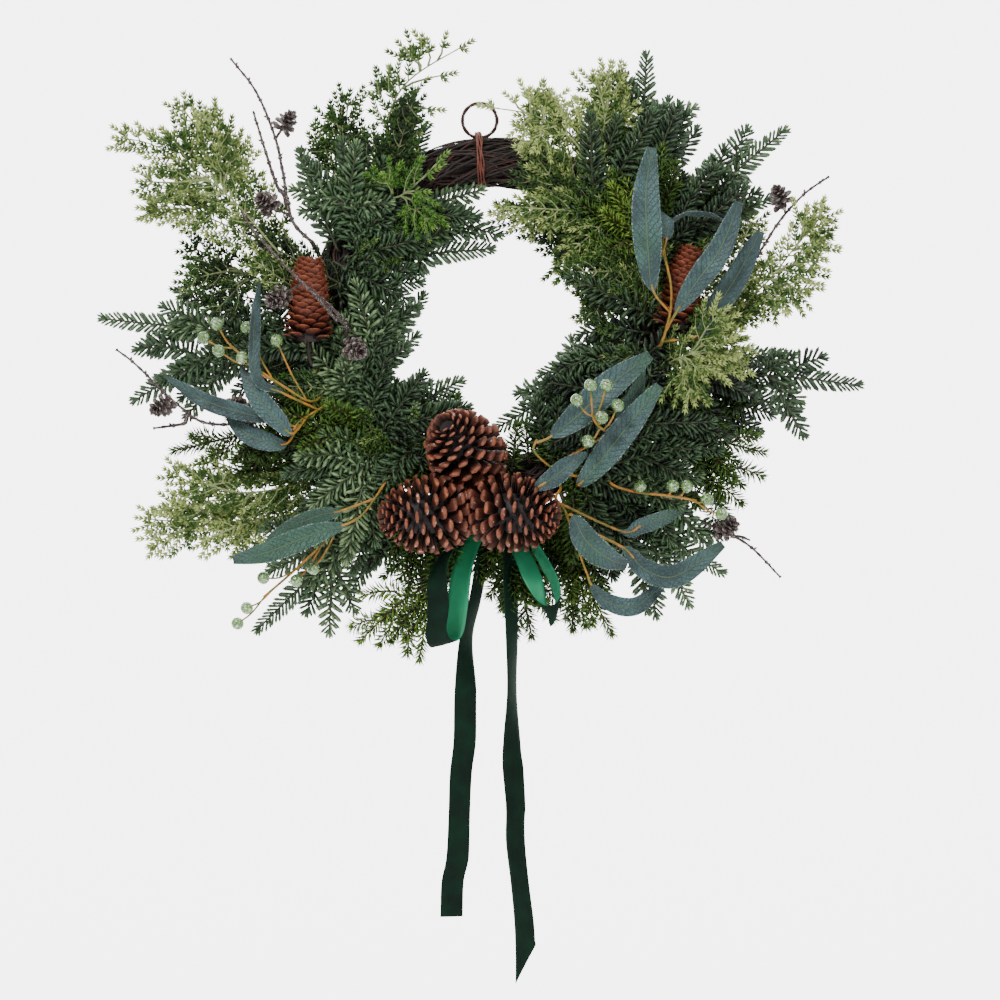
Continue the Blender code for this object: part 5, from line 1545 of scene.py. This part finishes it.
PINE_NEEDLE = blade("pine_needle", [(0, 0, 0, 0), (0.45, 0.6, 0.55, 0.15), (1, 0, 0, -0.3)], 3)
PINE_STEP = 0.0023
PINE_GREEN = needle_finish("pine needles", srgb(16, 30, 8), srgb(60, 92, 26), srgb(128, 156, 58),
                           0.5)
PINE_WOOD = twig_finish("pine stems", srgb(44, 40, 24), srgb(96, 84, 48))


def brush(growth, walk, shade, bare):
    """Short needles all round a twig, four at each step."""
    last = len(walk) - 1
    for i, (along, side, front) in enumerate(frames(walk)):
        share = i / last
        if share < bare:
            continue
        size = (1 - 0.30 * share ** 3) * min(1.0, 0.7 + 3 * (share - bare))
        for k in range(4):
            turn = GOLDEN * (4 * i + k)
            out = side * math.cos(turn) + front * math.sin(turn)
            lean = math.radians(66 - 26 * share ** 2 + random.uniform(-9, 9))
            place = walk[i] + along * (PINE_STEP * k / 4)
            # Needles that point towards the front get a lighter tint, and those that point back a
            # darker one: painted light and shade.
            growth.leaf(place, along * math.cos(lean) + out * math.sin(lean), along, size,
                        shade + 0.10 * out.dot(front) + random.uniform(-0.12, 0.12))
    along, side, front = frames(walk)[-1]
    for k in range(6):
        out = side * math.cos(k * 1.05) + front * math.sin(k * 1.05)
        growth.leaf(walk[-1], (along + out * 0.4).normalized(), out, 0.7, shade + 0.12)


PINE = {
    "slot": "pine", "step": PINE_STEP, "pitch": 0.0093, "dress": brush, "needle": PINE_NEEDLE,
    "needle_size": (0.0144, 0.0019, 0.20), "green": PINE_GREEN, "wood": PINE_WOOD,
    "stem_sides": 4, "cover": 13, "cover_reach": (0.045, 0.080), "cover_girth": (0.0012, 0.0007),
    "cover_painted_shade": 0.14, "swings": ((-16, 16), (-20,)), "girth": (0.0014, 0.0008),
    "levels": (-0.12, 0.16), "main_bare": 0.14, "twig_gaps": (0.024, 0.024),
    "twig_spot": lambda k, count: 0.16 + 0.66 * (k + 0.5) / count,
    "twig_turn": 50, "twig_reach": (0.022, 0.040), "twig_girth": (0.0009, 0.0006),
    "twig_shade": 0.0,
}
for row in (
    ("pine_left", 0.35, 214, 20, (-263, -108, 22), [(0.35, (-200, -130, 26)),
     (0.30, (-193, -112, 40))]),
    ("pine_inner_left", 0.55, 222, 90, (-168, -92, 42), [(0.35, (-150, -122, 36))]),
    ("pine_upper_right", 0.60, 20, 90, (100, 108, 44), [(0.30, (82, 52, 40)),
     (0.40, (124, 96, 34))]),
    ("pine_behind_leaves", 0.40, 30, 30, (140, 140, 34), [(0.35, (175, 110, 18))]),
    ("pine_right", 0.38, 324, 10, (223, -109, 20), [(0.40, (199, -130, 30)),
     (0.30, (178, -92, 34)), (0.25, [(179, -133, 17), (200, -171, 8)])]),
    ("pine_bottom_left", 0.50, 256, 20, (-61, -280, 14), [(0.40, (-109, -265, 20)),
     (0.45, (-84, -266, 6))], 0.3, 22),
    ("pine_bottom_middle", 0.42, 276, 0, (8, -238, 2),
     [(0.35, [(23, -218, 5), (32, -262, -6)])], 0.3, 22),
    ("pine_bottom_right", 0.45, 284, 20, (98, -259, 16), [(0.40, (67, -256, 6))], 0.3, 20),
):
    needled(PINE, *row)

# ---------------------------------------------------------------- cedar and juniper
# Flat ferny plumes, moulded and set on wire stems that are wound onto the ring. Side shoots
# stand left and right along each stem, with pairs and little stars of pointed leaves. Some are
# pale yellow-green, others mid or dark green, and the juniper is bright green.

CEDAR_LEAF = blade("cedar_leaf", [(0, 0, 0, 0), (0.42, 0.58, 0.36, 0.1), (1, 0, 0, -0.2)], 3)
CEDAR_STEP = 0.0036
SHOOT_GAP = 3
TWIGLET_GAP = 3
LEAST_STATIONS = 5
CEDAR_GREEN = needle_finish("cedar leaves", srgb(12, 30, 8), srgb(50, 84, 24), srgb(176, 190, 112),
                            0.55)
CEDAR_WOOD = twig_finish("cedar stems", srgb(52, 66, 34), srgb(158, 172, 112))
JUNIPER_GREEN = needle_finish("juniper leaves", srgb(20, 42, 12), srgb(64, 108, 28),
                              srgb(134, 168, 70), 0.5)


def star(growth, place, along, side, front, shade, size):
    """A twiglet of pointed leaves: two in line, and two pairs beside them."""
    end = place + along * 0.0046 * size
    growth.leaf(place, along, front, size, shade)
    growth.leaf(end, along, front, size, shade + random.uniform(0.05, 0.20))
    for hand in (-1, 1):
        for spot, spread in ((0.25, 0.62), (0.95, 0.52)):
            way = along + side * hand * spread + front * random.uniform(-0.05, 0.35)
            growth.leaf(place.lerp(end, spot), way.normalized(), front, size * 0.9,
                        shade + random.uniform(-0.22, 0.10))


def shoot(growth, walk, shade):
    """A flat feather: pairs of pointed leaves all along, twiglets at times, and one at the tip."""
    growth.stem(walk, tapered(walk, 0.0008, 0.0005), shade + 0.2)
    last = len(walk) - 1
    lines = frames(walk)
    for i in range(1, last + 1):
        along, side, front = lines[i]
        share = i / last
        for hand in (-1, 1):
            way = along * 0.84 + side * hand * (0.54 - 0.15 * share)
            way = (way + front * random.uniform(-0.10, 0.35)).normalized()
            growth.leaf(walk[i], way, front, 1.0 - 0.25 * share,
                        shade + 0.18 * share + random.uniform(-0.20, 0.10))
        if i % TWIGLET_GAP == 1 and i < last - 1:
            hand = 1 if i // TWIGLET_GAP % 2 else -1
            way = (along * 0.74 + side * hand * 0.74 + front * 0.1).normalized()
            star(growth, walk[i], way, way.cross(front).normalized(), front, shade, 0.9)
    star(growth, walk[-1], along, side, front, shade + 0.20, 0.9)


def plume(growth, walk, shade, bare, reach):
    """A stem with shoots to both sides, which shorten towards its tip."""
    last = len(walk) - 1
    lines = frames(walk)
    growth.stem(walk, tapered(walk, 0.0013, 0.0006), shade - 0.1)
    for i in range(1, last):
        share = i / last
        if share < bare or i % SHOOT_GAP:
            continue
        along, side, front = lines[i]
        for hand in (-1, 1):
            tilt = front * random.uniform(-0.18, 0.30)
            way = (along * 0.74 + side * hand * 0.74 + tilt).normalized()
            long = max(0.010, reach * (1.05 - 0.72 * share) * random.uniform(0.8, 1.15))
            bend = walk[i] + way * long * 0.5
            end = walk[i] + (way * 0.9 + along * 0.28).normalized() * long
            if not is_by_loop(end):
                line = smooth_route([walk[i], bend, end], CEDAR_STEP)
                shoot(growth, line, shade - 0.16 + 0.16 * share + random.uniform(-0.22, 0.12))
    shoot(growth, walk[-4:], shade)


def cedar(name, shade, clock, around, tip, sides, bare=0.3, finish=None, cover=4):
    """A spray of plumes, with a few short ones on the ring below."""
    growth = Growth()
    # Cover plumes get a tint 0.18 darker than the spray's: painted shade, since they lie low on the
    # ring under the sprays.
    for route in cover_routes(cover, clock, around, tip, 0.060, 0.085):
        plume(growth, stem_walk(route, CEDAR_STEP), shade - 0.18, 0.12, 0.026)
    routes = spray_routes(0.0119, clock, around, tip, sides, bare)
    for route, is_main in with_company(routes, (-13, 13), (17,)):
        walk = stem_walk(route, CEDAR_STEP)
        walk = walk[:max(LEAST_STATIONS, len(walk) - 3)]
        plume(growth, walk, shade, bare if is_main else 0.10, 0.036 if is_main else 0.028)
    piece = growth.dressed(name + "_plume", 3, CEDAR_WOOD, CEDAR_LEAF, finish or CEDAR_GREEN,
                           clock, Leaf_Length=0.0080, Leaf_Width=0.0021, Length_Spread=0.2)
    finished(piece, name)


cedar(
    "cedar_upper_left", 0.72, 165, 40,
    [(-172, 50, 34), (-219, 102, 44), (-276, 142, 36), (-320, 153, 28)],
    [
        (0.42, [(-240, 150, 44), (-265, 186, 36)]), (0.38, [(-226, 146, 54), (-239, 178, 50)]),
        (0.34, (-210, 152, 40)), (0.46, [(-262, 112, 50), (-298, 114, 44)]),
        (0.30, [(-252, 92, 30), (-300, 94, 24)]), (0.55, (-275, 160, 50)),
    ],
    0.35,
)
cedar(
    "cedar_left_dark", 0.34, 178, 10,
    [(-200, 36, 10), (-264, 68, 6)],
    [(0.45, (-262, 32, 14)), (0.40, (-268, 18, 4)), (0.35, (-240, 0, 12))],
)
cedar(
    "cedar_dark_upper_left", 0.36, 142, 20,
    [(-128, 128, 14), (-119, 198, 8)],
    [
        (0.35, (-152, 153, 12)), (0.50, (-136, 182, 16)), (0.55, (-104, 156, -4)),
        (0.25, (-162, 128, 4)),
    ],
)
cedar(
    "cedar_top_left", 0.58, 120, 60,
    [(-88, 152, 36), (-72, 196, 34), (-13, 235, 26)],
    [
        (0.60, (-74, 226, 30)), (0.66, (-54, 238, 22)), (0.72, (-36, 241, 34)),
        (0.45, (-27, 204, 42)), (0.40, (-94, 196, 26)), (0.30, (-36, 172, 44)),
    ],
)
cedar(
    "juniper_top_left", 0.55, 132, 85,
    [(-72, 104, 48), (-34, 140, 46)],
    [(0.30, (-46, 72, 44)), (0.35, (-52, 104, 52)), (0.22, (-92, 122, 58)), (0.55, (-46, 122, 60))],
    0.3, JUNIPER_GREEN,
)
cedar(
    "cedar_top_right", 0.86, 60, 70,
    [(70, 144, 40), (36, 168, 40), (-16, 178, 34)],
    [
        (0.60, (6, 190, 34)), (0.55, (31, 188, 44)), (0.45, (48, 192, 32)), (0.50, (10, 148, 52)),
        (0.40, (30, 134, 50)),
    ],
    cover=12,
)
cedar(
    "cedar_top_right_tall", 0.80, 50, 30,
    [(92, 152, 26), (101, 220, 18)],
    [(0.50, (82, 212, 24)), (0.62, (114, 208, 12)), (0.35, (76, 188, 16)), (0.45, (117, 170, 30))],
)
cedar(
    "cedar_inner_right_dark", 0.40, 36, 150,
    (30, 79, 6), [(0.35, (40, 100, 14)), (0.40, [(62, 49, 12), (50, 29, 4)])],
    cover=8,
)
cedar(
    "cedar_inner_right", 0.60, 2, 140,
    (74, 38, 14), [(0.40, (72, 14, 8)), (0.35, (74, -6, 22))],
)
cedar(
    "cedar_right", 0.72, 4, 35,
    [(190, 4, 34), (224, 28, 38), (252, 62, 34), (282, 96, 26)],
    [
        (0.70, (262, 96, 36)), (0.65, (286, 69, 24)), (0.50, (280, 50, 40)), (0.45, (266, 18, 34)),
        (0.40, (248, 2, 42)),
    ],
)
cedar(
    "cedar_right_bright", 0.74, 345, 60,
    [(160, -30, 52), (212, -16, 50)],
    [
        (0.35, (178, -54, 56)), (0.30, (168, -76, 50)), (0.45, (214, -36, 42)),
        (0.40, [(178, -5, 65), (196, 11, 72)]),
    ],
)
cedar(
    "cedar_lower_left", 0.66, 224, 15,
    [(-170, -138, 18), (-229, -142, 22), (-278, -122, 16)],
    [
        (0.55, (-262, -134, 28)), (0.60, [(-222, -140, 14), (-234, -132, 4)]),
        (0.45, (-215, -158, 20)),
    ],
)
cedar(
    "cedar_lower_left_edge", 0.78, 230, -5,
    [(-170, -162, 10), (-246, -168, 14), (-303, -164, 8)],
    [
        (0.55, (-280, -152, 16)), (0.62, (-292, -190, 16)), (0.45, (-254, -192, 16)),
        (0.38, (-222, -186, 6)),
    ],
)

# ---------------------------------------------------------------- leaf patterns
# The leaf patterns have done their work and go.

for pattern in PATTERNS:
    bpy.data.objects.remove(pattern)
